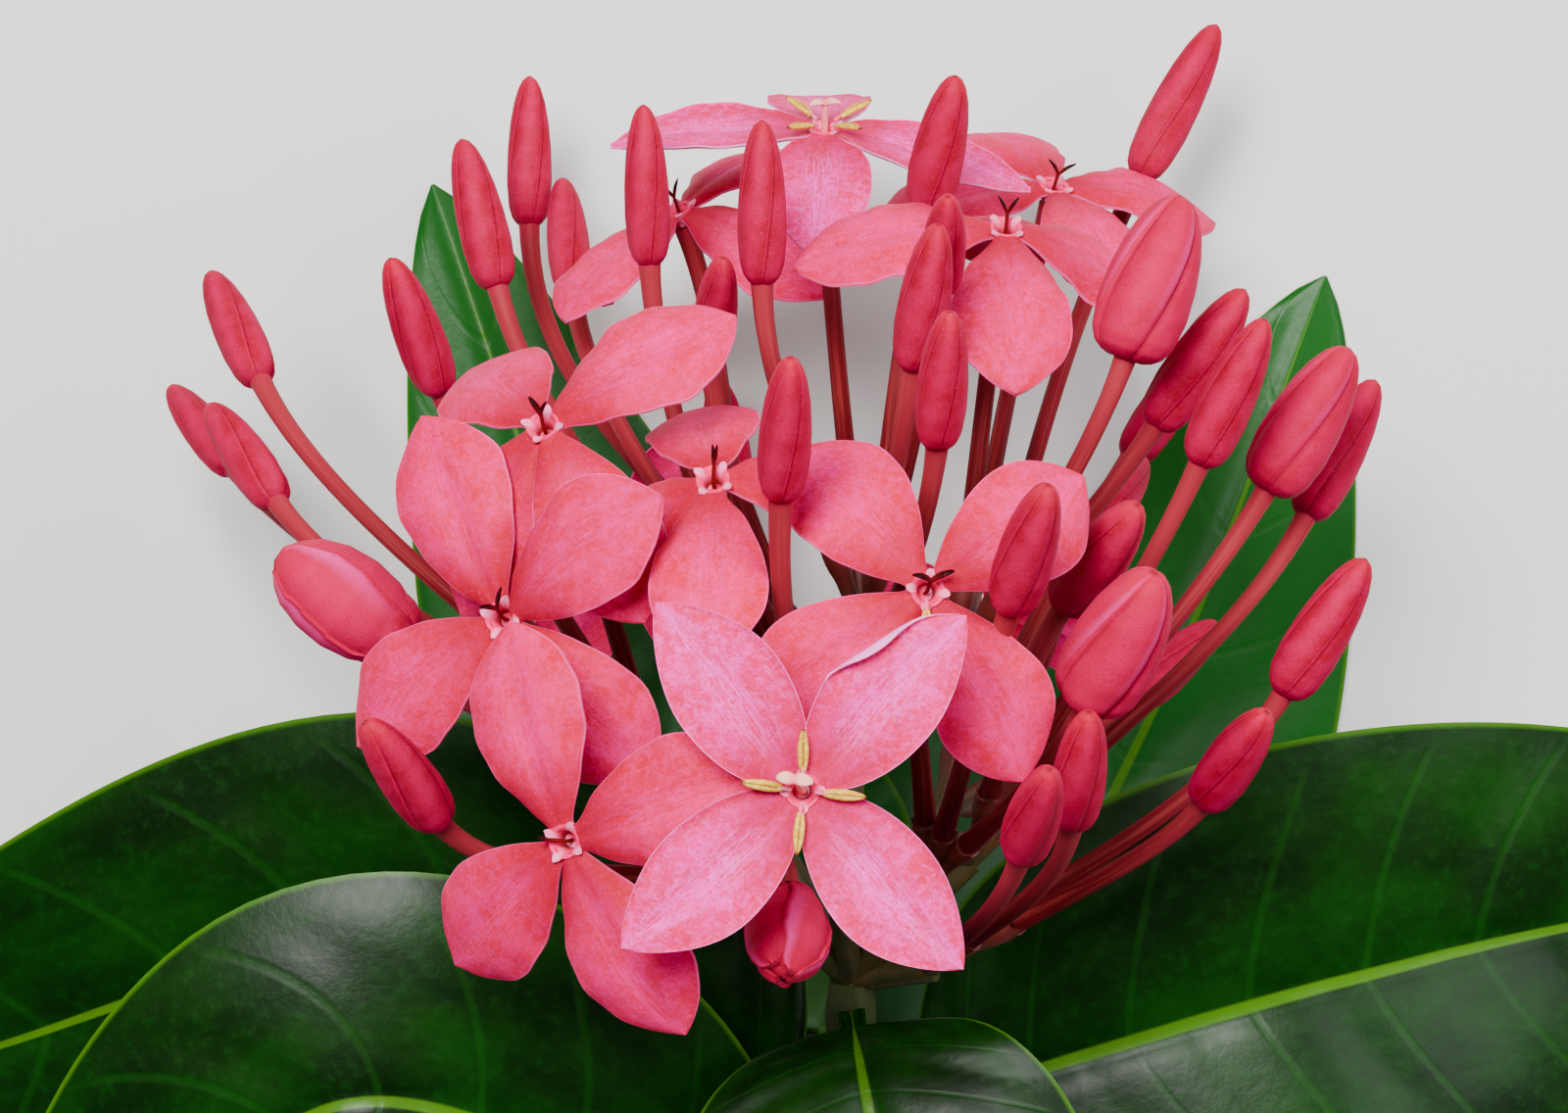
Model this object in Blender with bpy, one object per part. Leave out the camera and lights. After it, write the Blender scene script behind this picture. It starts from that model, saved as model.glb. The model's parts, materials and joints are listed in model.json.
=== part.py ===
"""Cut sprig of pink ixora lying on a surface: a domed flower head on a leafy stem.

Lengths are in millimetres, laid out from the spot on the surface straight below
the base of the flower head. mesh_object() turns them into metres and moves them
so that the origin is at the bottom centre of the box round the whole sprig.
+Y runs along the sprig towards the head, +X is its right side and +Z is up.
"""
import math
from collections import namedtuple

import bmesh
import bpy
from mathutils import Vector

MM = 0.001
SEAT_GAP = 0.3
ORIGIN_SHIFT = Vector((2.64, 18.60, 0.0))

HEAD_HEIGHT = 44.0
HEAD_BASE = Vector((0.0, 0.0, HEAD_HEIGHT))

STEM_ROUTE = ((0, 0, 44), (0, -30, 33), (1, -68, 18), (3, -116, 2.0))
STEM_RADIUS_TOP = 1.5
STEM_RADIUS_END = 2.2
STEM_RINGS = 11
STEM_SIDES = 8
STEM_KNEE_SWELL = 0.5
STEM_KNEES = (0.03, 0.09, 0.24, 0.54)
STEM_KNEE_WIDTH = 0.03

BRANCH_RADIUS = 1.15
BRANCH_SINK = 0.6
PEDICEL_RADIUS = 0.75
CALYX_RADIUS = 1.2
PEDICEL_LENGTH = 8.0
PEDICEL_SIDES = 5

TUBE_RADIUS = 0.8
TUBE_SIDES = 8
TUBE_STEPS = 3
FLOWER_TUBE_SIDES = 6
TUBE_BEND_START = 0.3
TUBE_BEND_END = 0.32
TUBE_POINTS = 301
THROAT_POINTS = 10

BUD_PROFILE = ((0.0, 0.50), (0.06, 0.88), (0.35, 1.0), (0.72, 0.82), (0.97, 0.22))
BUD_LOBES = 4
BUD_LOBE_DEPTH = 0.07
BUD_TWIST = math.radians(50)
BUD_SEAT = 0.4

THROAT_RADIUS = 1.5
THROAT_PROFILE = ((-0.7, 0.85), (0.1, 1.0), (0.55, 0.8))
PETAL_ROOT = 0.9
PETAL_ROWS = 6
PETAL_COLUMNS = 3
PETAL_THICKNESS = 0.7
PETAL_CLAW = 0.7
PETAL_LEAST = 0.35
ANTHER_START = 0.9
ANTHER_HEIGHT = 0.3
ANTHER_TURN = 43
ANTHER_PROFILE = ((0.0, 0.8), (0.4, 1.0), (1.0, 0.6))
ANTHER_LENGTH = 3.6
ANTHER_RADIUS = 0.5
ANTHER_LIFT = math.radians(16)
STYLE_HEIGHT = 3.6
STYLE_HALF_WIDTHS = (0.45, 0.40, 1.10)
STYLE_HALF_DEPTH = 0.35

LEAF_ROWS = 10
LEAF_COLUMNS = 5
LEAF_THICKNESS = 0.7
LEAF_FOLD = 0.20
LEAF_WAVE = 0.9
LEAF_WAVES = 2.5
PETIOLE_SHARE = 0.07
PETIOLE_HALF_WIDTH = 1.0
PETIOLE_THICKNESS = 1.6

Hub = namedtuple("Hub", "place parent")
Leaf = namedtuple("Leaf", "route half_width roll")
Flower = namedtuple("Flower", "hub place bearing tilt angles lifts length age")
Age = namedtuple("Age", "width_share widest_share curl trough anthers")
Bud = namedtuple("Bud", "hub place bearing lean length width")

# A fresh flower is flat and keeps its anthers; an old one rolls its petals back
FRESH = Age(0.52, 0.50, math.radians(5), 0.08, True)
OLD = Age(0.60, 0.60, math.radians(20), -0.16, False)

# Forks of the branching flower head, from the head's base
HUBS = {
    "base": Hub((0, 0, 0), None),
    "middle": Hub((0, 8, 2), "base"),
    "crown": Hub((0, 17, 2), "middle"),
    "left": Hub((-15, 16, 1), "base"),
    "left_front": Hub((-8, 8, 6), "base"),
    "front": Hub((-1, 7, 7), "base"),
    "right_low": Hub((6, 1, 3), "base"),
    "right_front": Hub((6, 8, 6), "base"),
    "right": Hub((9, 9, 1), "base"),
    "top": Hub((1, 27, 2), "crown"),
    "top_front": Hub((-1, 18, 7), "crown"),
    "top_left": Hub((-8, 24, 0), "crown"),
    "top_right": Hub((8, 24, 1), "crown"),
    "back_left": Hub((-7, 13, -4), "base"),
    "back_right": Hub((7, 13, -4), "base"),
    "back": Hub((0, 23, -4), "crown"),
}

# Leaf midribs, from the petiole's seat on the stem to the tip
LEAVES = {
    "leaf_1": Leaf(((-2.0, -27, 35.9), (-12, -23, 42), (-26, -12, 48), (-42, -10, 50),
                    (-57, -26, 42), (-66, -54, 22)), 18, -8),
    "leaf_2": Leaf(((-2.6, -11, 40), (-12, -7, 36), (-38, 2, 33), (-70, -7, 23), (-103, -20, 0)), 19, 0),
    "leaf_3": Leaf(((2.6, -11, 40), (14, -8, 38), (38, -1, 38), (64, 4, 29), (98, 5, 0)), 20, 0),
    "leaf_4": Leaf(((0, -2.5, 45.7), (1, -8, 51), (4, -24, 54), (9, -50, 44), (16, -84, 18)), 17, 0),
    "leaf_5": Leaf(((0, -4, 39.5), (-3, -7, 26), (-11.5, 3, 7), (-23.5, 30, -0.9), (-36, 66, 0)), 19, 0),
    "leaf_6": Leaf(((1.9, -27, 32.3), (8, -18, 19), (19, 4, 4), (30.5, 28, -0.9), (42, 58, 0)), 19, 0),
    "leaf_7": Leaf(((-1.9, -62, 20), (-14, -66, 20), (-36, -72, 13), (-62, -76, 4), (-92, -88, 0)), 18, 0),
    "leaf_8": Leaf(((3.35, -62, 20), (16, -63, 20), (38, -66, 13), (64, -68, 4), (95, -76, 0)), 18, 0),
}

# Open flowers: throat from the head's base, the way the face leans, and each petal's angle and lift
FLOWERS = {
    "flower_1": Flower("front", (-4, 17, 46), 0, 2, (47, 128, 221, 312), (8, 10, 4, 6), 16.0, FRESH),
    "flower_2": Flower("left_front", (-21, 13, 38), 191, 26, (20, 109, 222, 299), (18, 14, 2, 6), 15.6, OLD),
    "flower_3": Flower("left_front", (-26, 29, 30), 160, 24, (28, 112, 212, 308), (32, 24, 6, -8), 15.6, OLD),
    "flower_4": Flower("left", (-23, 43, 29), 112, 38, (28, 124, 222, 294), (20, -8, -24, -12), 15.6, OLD),
    "flower_5": Flower("top_front", (-10.5, 39, 30), 100, 36, (10, 98, 192, 268), (-20, -14, -30, 16), 14.6, OLD),
    "flower_6": Flower("right_front", (5, 31, 38), 45, 12, (37, 128, 218, 301), (4, -8, -6, 2), 15.2, OLD),
    "flower_7": Flower("top", (-2, 68, -10), 90, 62, (348, 92, 184, 268), (-8, -10, 2, -8), 16.5, FRESH),
    "flower_8": Flower("top_left", (-14, 62, -19), 112, 62, (52, 142, 232, 322), (6, -20, 18, -10), 15.0, OLD),
    "flower_9": Flower("top_right", (17, 64, -19), 77, 58, (20, 110, 200, 290), (6, 4, 4, 14), 15.5, OLD),
    "flower_10": Flower("top_right", (12, 59, 6), 84, 50, (2, 84, 186, 272), (-16, -30, 6, 8), 16.0, OLD),
    "flower_11": Flower("back_left", (-19, 33, -27), 165, 155, (37, 127, 217, 307), (10, 10, 10, 10), 13.0, OLD),
    "flower_12": Flower("back_right", (12, 28.5, -25), 60, 165, (15, 105, 195, 285), (14, 14, 14, 14), 10.2, OLD),
}

# Closed buds: where the tube ends, its bearing in plan, its lean above the plan, and its size
BUDS = {
    "bud_1": Bud("left", (-48, 48, -12), 118, -34, 13.0, 3.9),
    "bud_2": Bud("left", (-51, 41, -20), 132, -42, 13.0, 3.6),
    "bud_3": Bud("left", (-46, 38, -5), 128, -36, 13.0, 3.9),
    "bud_4": Bud("left", (-33, 47, -6), 109, 30, 13.0, 4.0),
    "bud_5": Bud("top_left", (-29, 56, -18), 104, -6, 13.2, 4.1),
    "bud_6": Bud("back", (-27, 62, -32), 90, -3, 13.2, 3.8),
    "bud_7": Bud("crown", (-23, 56, -24), 97, -38, 13.0, 3.6),
    "bud_8": Bud("top_left", (-16, 57, -2), 92, 13, 13.2, 3.6),
    "bud_9": Bud("top", (-7, 55, 8), 90, 15, 13.2, 3.8),
    "bud_10": Bud("back_right", (24, 42, -27), 55, -20, 12.6, 4.0),
    "bud_11": Bud("top_front", (-11, 50, 2), 82, 50, 11.0, 3.4),
    "bud_12": Bud("top", (6, 61, -3), 78, 32, 13.0, 4.2),
    "bud_13": Bud("back_right", (25, 66, -30), 63, -3, 15.0, 4.2),
    "bud_14": Bud("top_right", (21, 49, 12), 71, 3, 13.6, 7.0),
    "bud_15": Bud("top_right", (24, 44, 3), 57, 7, 13.2, 4.4),
    "bud_16": Bud("right", (27, 41, 9), 67, 19, 13.0, 4.2),
    "bud_17": Bud("right", (33, 39, 0), 60, 3, 13.4, 6.0),
    "bud_18": Bud("right", (37, 37, -9), 62, -11, 13.2, 4.4),
    "bud_19": Bud("right", (20, 36, -3), 54, -50, 11.0, 3.4),
    "bud_20": Bud("right", (16, 30, 20), 57, 45, 13.0, 4.6),
    "bud_21": Bud("right_front", (11, 30, 38), 75, 41, 12.4, 4.2),
    "bud_22": Bud("right_front", (17, 23, 31), 65, 33, 13.0, 6.8),
    "bud_23": Bud("right_low", (34, 23, 4), 60, 15, 13.0, 4.6),
    "bud_24": Bud("right_low", (27, 15, 14), 61, 48, 12.4, 4.2),
    "bud_25": Bud("right_low", (16, 14, 28), 85, 45, 12.4, 4.0),
    "bud_26": Bud("right_low", (12, 12, 34), 77, 56, 12.4, 4.0),
    "bud_27": Bud("left_front", (-31, 14, 26), 122, 44, 13.0, 4.2),
    "bud_28": Bud("front", (-5.5, 38, 40), 86, 37, 12.6, 3.8),
    "bud_29": Bud("top", (4.5, 48, 20), 81, 32, 12.8, 4.0),
    "bud_30": Bud("top", (6.6, 54, 16), 87, 52, 11.0, 3.4),
    "bud_31": Bud("top_front", (6, 42, 29), 86, 38, 12.4, 3.8),
    "bud_32": Bud("left_front", (-5, 8.6, 33), 270, 50, 8.4, 6.2),
    "bud_33": Bud("left", (-34, 27, 18), 145, 5, 12.0, 8.0),
    "bud_34": Bud("back_left", (-32, 22, -16), 150, -35, 12.6, 4.0),
    "bud_35": Bud("back_left", (-24, 18, -23), 150, -40, 12.6, 4.0),
    "bud_36": Bud("back_left", (-9.5, 38, -30), 98, -24, 12.6, 4.0),
    "bud_37": Bud("back_right", (24, 22, -18), 40, -40, 12.6, 4.0),
    "bud_38": Bud("back_right", (15, 15, -20), 30, -45, 12.6, 4.0),
}

# Base colour and roughness of each kind of piece
FINISHES = {
    "stem": ((0.10, 0.12, 0.03), 0.55),
    "leaf": ((0.012, 0.085, 0.012), 0.30),
    "flower": ((0.84, 0.12, 0.16), 0.50),
    "bud": ((0.70, 0.05, 0.10), 0.50),
}


def clear_scene():
    """Remove every object of the open scene."""
    for thing in list(bpy.data.objects):
        bpy.data.objects.remove(thing, do_unlink=True)


def material_for(kind):
    """Return the Principled material of a kind of piece."""
    found = bpy.data.materials.get(kind)
    if found:
        return found
    colour, roughness = FINISHES[kind]
    made = bpy.data.materials.new(kind)
    made.use_nodes = True
    shader = made.node_tree.nodes["Principled BSDF"]
    shader.inputs["Base Color"].default_value = (*colour, 1.0)
    shader.inputs["Roughness"].default_value = roughness
    shader.inputs["Metallic"].default_value = 0.0
    return made


def mesh_object(name, kind, shape):
    """Make one object from a (points, faces) shape given in millimetres."""
    points, faces = shape
    mesh = bpy.data.meshes.new(name)
    mesh.from_pydata([tuple((point + ORIGIN_SHIFT) * MM) for point in points], [], faces)
    work = bmesh.new()
    work.from_mesh(mesh)
    bmesh.ops.recalc_face_normals(work, faces=work.faces)
    bmesh.ops.triangulate(work, faces=work.faces)
    work.to_mesh(mesh)
    work.free()
    mesh.materials.append(material_for(kind))
    made = bpy.data.objects.new(name, mesh)
    bpy.context.scene.collection.objects.link(made)
    return made


def fused_object(name, kind, shapes):
    """Join overlapping shapes into one body with one Boolean union, and apply it."""
    body = mesh_object(name, kind, shapes[0])
    extras = bpy.data.collections.new(name + "_extras")
    for number, shape in enumerate(shapes[1:]):
        extra = mesh_object(f"{name}_extra_{number}", kind, shape)
        bpy.context.scene.collection.objects.unlink(extra)
        extras.objects.link(extra)
    union = body.modifiers.new("union", "BOOLEAN")
    union.operation = "UNION"
    union.operand_type = "COLLECTION"
    union.collection = extras
    union.solver = "EXACT"
    depsgraph = bpy.context.evaluated_depsgraph_get()
    fused = bpy.data.meshes.new_from_object(body.evaluated_get(depsgraph))
    body.modifiers.clear()
    body.data = fused
    for extra in list(extras.objects):
        bpy.data.objects.remove(extra, do_unlink=True)
    bpy.data.collections.remove(extras)
    return body


def smooth_route(route, count):
    """Return count points evenly spread over a Catmull-Rom curve through the route."""
    knots = [Vector(point) for point in route]
    knots = [knots[0] * 2 - knots[1]] + knots + [knots[-1] * 2 - knots[-2]]
    spans = len(knots) - 3
    points = []
    for number in range(count):
        place = spans * number / (count - 1)
        span = min(int(place), spans - 1)
        t = place - span
        a, b, c, d = knots[span:span + 4]
        points.append(0.5 * (2 * b + (c - a) * t + (2 * a - 5 * b + 4 * c - d) * t * t
                             + (3 * b - a - 3 * c + d) * t ** 3))
    return points


def bend_route(start, end, facing, count):
    """Return points on a curve from start that arrives at end along facing."""
    reach = (end - start).length
    first = start + (end - start) * TUBE_BEND_START
    second = end - facing * reach * TUBE_BEND_END
    points = []
    for number in range(count):
        t = number / (count - 1)
        s = 1 - t
        points.append(start * s ** 3 + first * 3 * s * s * t + second * 3 * s * t * t + end * t ** 3)
    return points


def frames_along(points):
    """Return (point, tangent, side, up) at each point, turned as little as possible."""
    frames = []
    side = None
    last = len(points) - 1
    for number, point in enumerate(points):
        tangent = (points[min(number + 1, last)] - points[max(number - 1, 0)]).normalized()
        if side is None:
            side = Vector((1, 0, 0)) if abs(tangent.x) < 0.8 else Vector((0, 1, 0))
        side = (side - tangent * side.dot(tangent)).normalized()
        frames.append((point, tangent, side, tangent.cross(side)))
    return frames


def ring(frame, radius, sides, turn=0.0, lobe=0.0):
    """Return one ring of points round a frame, with raised lobes where lobe isn't 0."""
    point, _, side, up = frame
    points = []
    for number in range(sides):
        angle = 2 * math.pi * number / sides
        reach = radius * (1 + lobe * math.cos(BUD_LOBES * angle))
        points.append(point + (side * math.cos(angle + turn) + up * math.sin(angle + turn)) * reach)
    return points


def loft(rings):
    """Close a row of rings with equal counts into one solid shape."""
    sides = len(rings[0])
    points = [point for one in rings for point in one]
    faces = []
    for row in range(len(rings) - 1):
        for number in range(sides):
            a = row * sides + number
            b = row * sides + (number + 1) % sides
            faces.append((a, b, b + sides, a + sides))
    faces.append(tuple(reversed(range(sides))))
    faces.append(tuple(range(len(points) - sides, len(points))))
    return points, faces


def blade(middle, normals, thicknesses):
    """Thicken a grid of points into a closed blade whose faces are split alike."""
    rows = len(middle)
    columns = len(middle[0])
    top = []
    bottom = []
    for row in range(rows):
        for column in range(columns):
            offset = normals[row][column] * thicknesses[row] / 2
            top.append(middle[row][column] + offset)
            bottom.append(middle[row][column] - offset)
    count = rows * columns
    faces = []
    for row in range(rows - 1):
        for column in range(columns - 1):
            a = row * columns + column
            b, c, d = a + 1, a + columns + 1, a + columns
            if column < (columns - 1) / 2:
                pairs = ((a, b, c), (a, c, d))
            else:
                pairs = ((a, b, d), (b, c, d))
            for one in pairs:
                faces.append(one)
                faces.append(tuple(count + corner for corner in reversed(one)))
    rim = list(range(columns))
    rim += [row * columns + columns - 1 for row in range(1, rows)]
    rim += [(rows - 1) * columns + column for column in range(columns - 2, -1, -1)]
    rim += [row * columns for row in range(rows - 2, 0, -1)]
    for number, corner in enumerate(rim):
        after = rim[(number + 1) % len(rim)]
        faces.append((after, corner, count + corner, count + after))
    return top + bottom, faces


def plan_direction(bearing, lean):
    """Return the unit vector at a bearing in plan and a lean above the plan, in degrees."""
    flat = math.cos(math.radians(lean))
    return Vector((flat * math.cos(math.radians(bearing)),
                   flat * math.sin(math.radians(bearing)),
                   math.sin(math.radians(lean))))


def stem_shape():
    """Return the main stem, swollen at its leaf knees, from every third point of its route."""
    frames = frames_along(smooth_route(STEM_ROUTE, STEM_RINGS * 3))
    rings = []
    for number in [*range(0, len(frames), 3), len(frames) - 1]:
        share = number / (len(frames) - 1)
        radius = STEM_RADIUS_TOP + (STEM_RADIUS_END - STEM_RADIUS_TOP) * share
        for knee in STEM_KNEES:
            radius += STEM_KNEE_SWELL * math.exp(-((share - knee) / STEM_KNEE_WIDTH) ** 2)
        points = ring(frames[number], radius, STEM_SIDES)
        for point in points:
            point.z = max(point.z, 0.0)
        rings.append(points)
    return loft(rings)


def branch_shape(start, end):
    """Return a branch of the head between two forks, sunk a little past both."""
    along = (end - start).normalized() * BRANCH_SINK
    frames = frames_along([start - along, end + along])
    return loft([ring(frame, BRANCH_RADIUS, PEDICEL_SIDES) for frame in frames])


def hub_point(name):
    """Return a fork's place in the world."""
    return HEAD_BASE + Vector(HUBS[name].place)


def floret_path(floret, facing):
    """Split a floret's path into its pedicel, which the stem keeps, and its own tube."""
    start = hub_point(floret.hub)
    end = HEAD_BASE + Vector(floret.place)
    fine = bend_route(start, end, facing, TUBE_POINTS)
    lengths = [0.0]
    for before, after in zip(fine, fine[1:]):
        lengths.append(lengths[-1] + (after - before).length)
    pedicel = [point for point, length in zip(fine, lengths) if length <= PEDICEL_LENGTH]
    tube = [point for point, length in zip(fine, lengths) if length >= PEDICEL_LENGTH + SEAT_GAP]
    return pedicel, tube


def picked(points, count):
    """Return count of the points, evenly spread, with both ends."""
    last = len(points) - 1
    return [points[round(last * number / (count - 1))] for number in range(count)]


def pedicel_shape(floret, facing):
    """Return a pedicel with the small calyx that a tube stands on."""
    path, _ = floret_path(floret, facing)
    frames = frames_along(picked(path, 3))
    radii = (PEDICEL_RADIUS, PEDICEL_RADIUS, CALYX_RADIUS)
    return loft([ring(frame, radius, PEDICEL_SIDES) for frame, radius in zip(frames, radii)])


def bud_shape(bud):
    """Return a bud on its tube as one solid, four-lobed and slightly twisted."""
    facing = plan_direction(bud.bearing, bud.lean)
    _, path = floret_path(bud, facing)
    frames = frames_along(picked(path, TUBE_STEPS + 1))
    rings = [ring(frame, TUBE_RADIUS, TUBE_SIDES) for frame in frames]
    end, _, side, _ = frames[-1]
    side = (side - facing * side.dot(facing)).normalized()
    up = facing.cross(side)
    for share, width in BUD_PROFILE:
        frame = (end + facing * (bud.length * share + BUD_SEAT), facing, side, up)
        rings.append(ring(frame, width * bud.width / 2, TUBE_SIDES, BUD_TWIST * share, BUD_LOBE_DEPTH))
    return loft(rings)


def flower_axes(flower):
    """Return the two in-plane axes and the normal of an open flower's face."""
    normal = plan_direction(flower.bearing, 90 - flower.tilt)
    across = Vector((1, 0, 0))
    across = (across - normal * across.dot(normal)).normalized()
    return across, normal.cross(across), normal


def petal_width(share, age):
    """Return the half-width of a petal as a share of its widest, along its length."""
    bent = share ** (math.log(0.5) / math.log(age.widest_share))
    return math.sin(math.pi * bent) ** 0.8


def petal_shape(flower, number):
    """Return one petal as a closed blade from the throat to its tip."""
    across, along, normal = flower_axes(flower)
    angle = math.radians(flower.angles[number])
    out = across * math.cos(angle) + along * math.sin(angle)
    side = normal.cross(out)
    lift = math.radians(flower.lifts[number])
    centre = HEAD_BASE + Vector(flower.place)
    widest = flower.length * flower.age.width_share / 2
    middle = []
    normals = []
    for row in range(PETAL_ROWS):
        share = row / (PETAL_ROWS - 1)
        bend = lift - flower.age.curl * share
        run = flower.length * share
        spine = centre + out * (PETAL_ROOT + run * math.cos(bend)) + normal * (run * math.sin(bend))
        face = (normal * math.cos(bend) - out * math.sin(bend)).normalized()
        half = max(petal_width(share, flower.age) * widest, PETAL_CLAW if row == 0 else PETAL_LEAST)
        line = []
        for column in range(PETAL_COLUMNS):
            sweep = 2 * column / (PETAL_COLUMNS - 1) - 1
            line.append(spine + side * half * sweep + face * flower.age.trough * half * abs(sweep))
        middle.append(line)
        normals.append([face] * PETAL_COLUMNS)
    return blade(middle, normals, [PETAL_THICKNESS] * PETAL_ROWS)


def anther_shape(start, end):
    """Return one anther: a thin three-sided spindle, thickest near its middle."""
    frames = frames_along([start.lerp(end, share) for share, _ in ANTHER_PROFILE])
    return loft([ring(frame, ANTHER_RADIUS * width, 3) for frame, (_, width) in zip(frames, ANTHER_PROFILE)])


def style_shape(centre, across, along, normal):
    """Return the style, which ends in a flat forked stigma."""
    rings = []
    for number, half in enumerate(STYLE_HALF_WIDTHS):
        middle = centre + normal * STYLE_HEIGHT * number / 2
        wide = across * half
        deep = along * STYLE_HALF_DEPTH
        rings.append([middle + wide + deep, middle - wide + deep, middle - wide - deep, middle + wide - deep])
    return loft(rings)


def flower_shapes(flower):
    """Return an open flower's parts: tube with throat, petals, style, stigma and anthers."""
    across, along, normal = flower_axes(flower)
    centre = HEAD_BASE + Vector(flower.place)
    _, path = floret_path(flower, normal)
    frames = frames_along(picked(path[:-THROAT_POINTS], TUBE_STEPS + 1))
    rings = [ring(frame, TUBE_RADIUS, FLOWER_TUBE_SIDES) for frame in frames]
    _, _, side, _ = frames[-1]
    side = (side - normal * side.dot(normal)).normalized()
    up = normal.cross(side)
    for height, width in THROAT_PROFILE:
        frame = (centre + normal * height, normal, side, up)
        rings.append(ring(frame, THROAT_RADIUS * width, FLOWER_TUBE_SIDES))
    shapes = [loft(rings)]
    shapes += [petal_shape(flower, number) for number in range(4)]
    shapes.append(style_shape(centre, across, along, normal))
    if flower.age.anthers:
        for number in range(4):
            angle = math.radians(flower.angles[number] + ANTHER_TURN)
            out = across * math.cos(angle) + along * math.sin(angle)
            out = out * math.cos(ANTHER_LIFT) + normal * math.sin(ANTHER_LIFT)
            start = centre + normal * ANTHER_HEIGHT + out * ANTHER_START
            shapes.append(anther_shape(start, start + out * ANTHER_LENGTH))
    return shapes


def leaf_width(share):
    """Return the half-width of a leaf blade as a share of its widest, along the blade."""
    return math.sin(math.pi * share ** 0.85) ** 0.72


def leaf_shape(leaf):
    """Return a leaf with its petiole as one closed blade, folded, waved and flat where it rests."""
    frames = frames_along(smooth_route(leaf.route, LEAF_ROWS))
    roll = math.radians(leaf.roll)
    middle = []
    normals = []
    thicknesses = []
    for row, (point, tangent, _, _) in enumerate(frames):
        share = row / (LEAF_ROWS - 1)
        side = tangent.cross(Vector((0, 0, 1))).normalized()
        face = side.cross(tangent).normalized()
        side, face = (side * math.cos(roll) + face * math.sin(roll),
                      face * math.cos(roll) - side * math.sin(roll))
        blade_share = max(0.0, (share - PETIOLE_SHARE) / (1 - PETIOLE_SHARE))
        half = max(leaf_width(blade_share) * leaf.half_width, PETIOLE_HALF_WIDTH)
        thickness = PETIOLE_THICKNESS if blade_share == 0.0 else LEAF_THICKNESS
        line = []
        for column in range(LEAF_COLUMNS):
            sweep = 2 * column / (LEAF_COLUMNS - 1) - 1
            wave = LEAF_WAVE * math.sin(2 * math.pi * LEAF_WAVES * share + sweep) * half / leaf.half_width
            rise = LEAF_FOLD * half * (abs(sweep) - 0.5 * sweep * sweep) + wave * sweep * sweep
            spot = point + side * half * sweep + face * rise
            spot.z = max(spot.z, face.z * thickness / 2)
            line.append(spot)
        middle.append(line)
        normals.append([face] * LEAF_COLUMNS)
        thicknesses.append(thickness)
    return blade(middle, normals, thicknesses)


def build():
    """Build the whole sprig."""
    clear_scene()
    stalks = [stem_shape()]
    for hub in HUBS.values():
        if hub.parent:
            stalks.append(branch_shape(hub_point(hub.parent), HEAD_BASE + Vector(hub.place)))
    for flower in FLOWERS.values():
        stalks.append(pedicel_shape(flower, flower_axes(flower)[2]))
    for bud in BUDS.values():
        stalks.append(pedicel_shape(bud, plan_direction(bud.bearing, bud.lean)))
    fused_object("stem", "stem", stalks)
    for name, leaf in LEAVES.items():
        mesh_object(name, "leaf", leaf_shape(leaf))
    for name, flower in FLOWERS.items():
        fused_object(name, "flower", flower_shapes(flower))
    for name, bud in BUDS.items():
        mesh_object(name, "bud", bud_shape(bud))


build()
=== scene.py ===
"""Looks of the cut ixora sprig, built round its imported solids.

Lengths are in millimetres and laid out as in the part's source, from the spot on
the surface straight below the base of the flower head: +Y runs along the sprig
towards the head, +X is its right side and +Z is up.
"""
import json
import math
import random
from collections import namedtuple

import bmesh
import bpy
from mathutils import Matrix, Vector

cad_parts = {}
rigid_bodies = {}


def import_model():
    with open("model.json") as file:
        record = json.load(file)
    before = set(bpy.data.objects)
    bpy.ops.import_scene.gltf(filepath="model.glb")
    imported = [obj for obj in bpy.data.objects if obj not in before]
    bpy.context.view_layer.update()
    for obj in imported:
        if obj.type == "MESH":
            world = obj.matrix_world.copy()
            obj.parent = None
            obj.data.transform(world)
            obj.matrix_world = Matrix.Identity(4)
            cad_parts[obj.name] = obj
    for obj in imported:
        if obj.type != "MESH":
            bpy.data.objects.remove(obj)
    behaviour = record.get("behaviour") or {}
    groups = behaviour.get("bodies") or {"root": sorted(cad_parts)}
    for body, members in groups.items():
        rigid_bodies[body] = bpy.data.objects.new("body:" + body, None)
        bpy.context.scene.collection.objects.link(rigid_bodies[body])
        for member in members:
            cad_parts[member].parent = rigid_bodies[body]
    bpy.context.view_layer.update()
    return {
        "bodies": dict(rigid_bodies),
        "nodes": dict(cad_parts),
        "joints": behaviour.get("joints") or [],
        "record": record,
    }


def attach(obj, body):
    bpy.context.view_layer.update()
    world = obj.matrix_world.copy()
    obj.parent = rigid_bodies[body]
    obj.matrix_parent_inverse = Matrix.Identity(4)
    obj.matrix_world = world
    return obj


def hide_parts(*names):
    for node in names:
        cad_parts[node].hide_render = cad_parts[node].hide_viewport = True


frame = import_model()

MM = 0.001
SEAT_GAP = 0.3
SHARP_ANGLE = math.radians(50)
ORIGIN_SHIFT = Vector((2.64, 18.60, 0.0))
RIGHT = Vector((1, 0, 0))
AHEAD = Vector((0, 1, 0))
UP = Vector((0, 0, 1))
# A tangent nearer to +X than this takes its side from +Y
SIDE_LIMIT = 0.8

HEAD_HEIGHT = 44.0
HEAD_BASE = UP * HEAD_HEIGHT
PETALS = 4

STEM_ROUTE = ((0, 0, 44), (0, -30, 33), (1, -68, 18), (3, -116, 2.0))
STEM_RADIUS_TOP = 1.5
STEM_RADIUS_END = 2.2
STEM_RINGS = 90
STEM_SIDES = 28
STEM_KNEE_SWELL = 0.5
STEM_KNEES = (0.03, 0.09, 0.24, 0.54)
STEM_KNEE_WIDTH = 0.03

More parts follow.
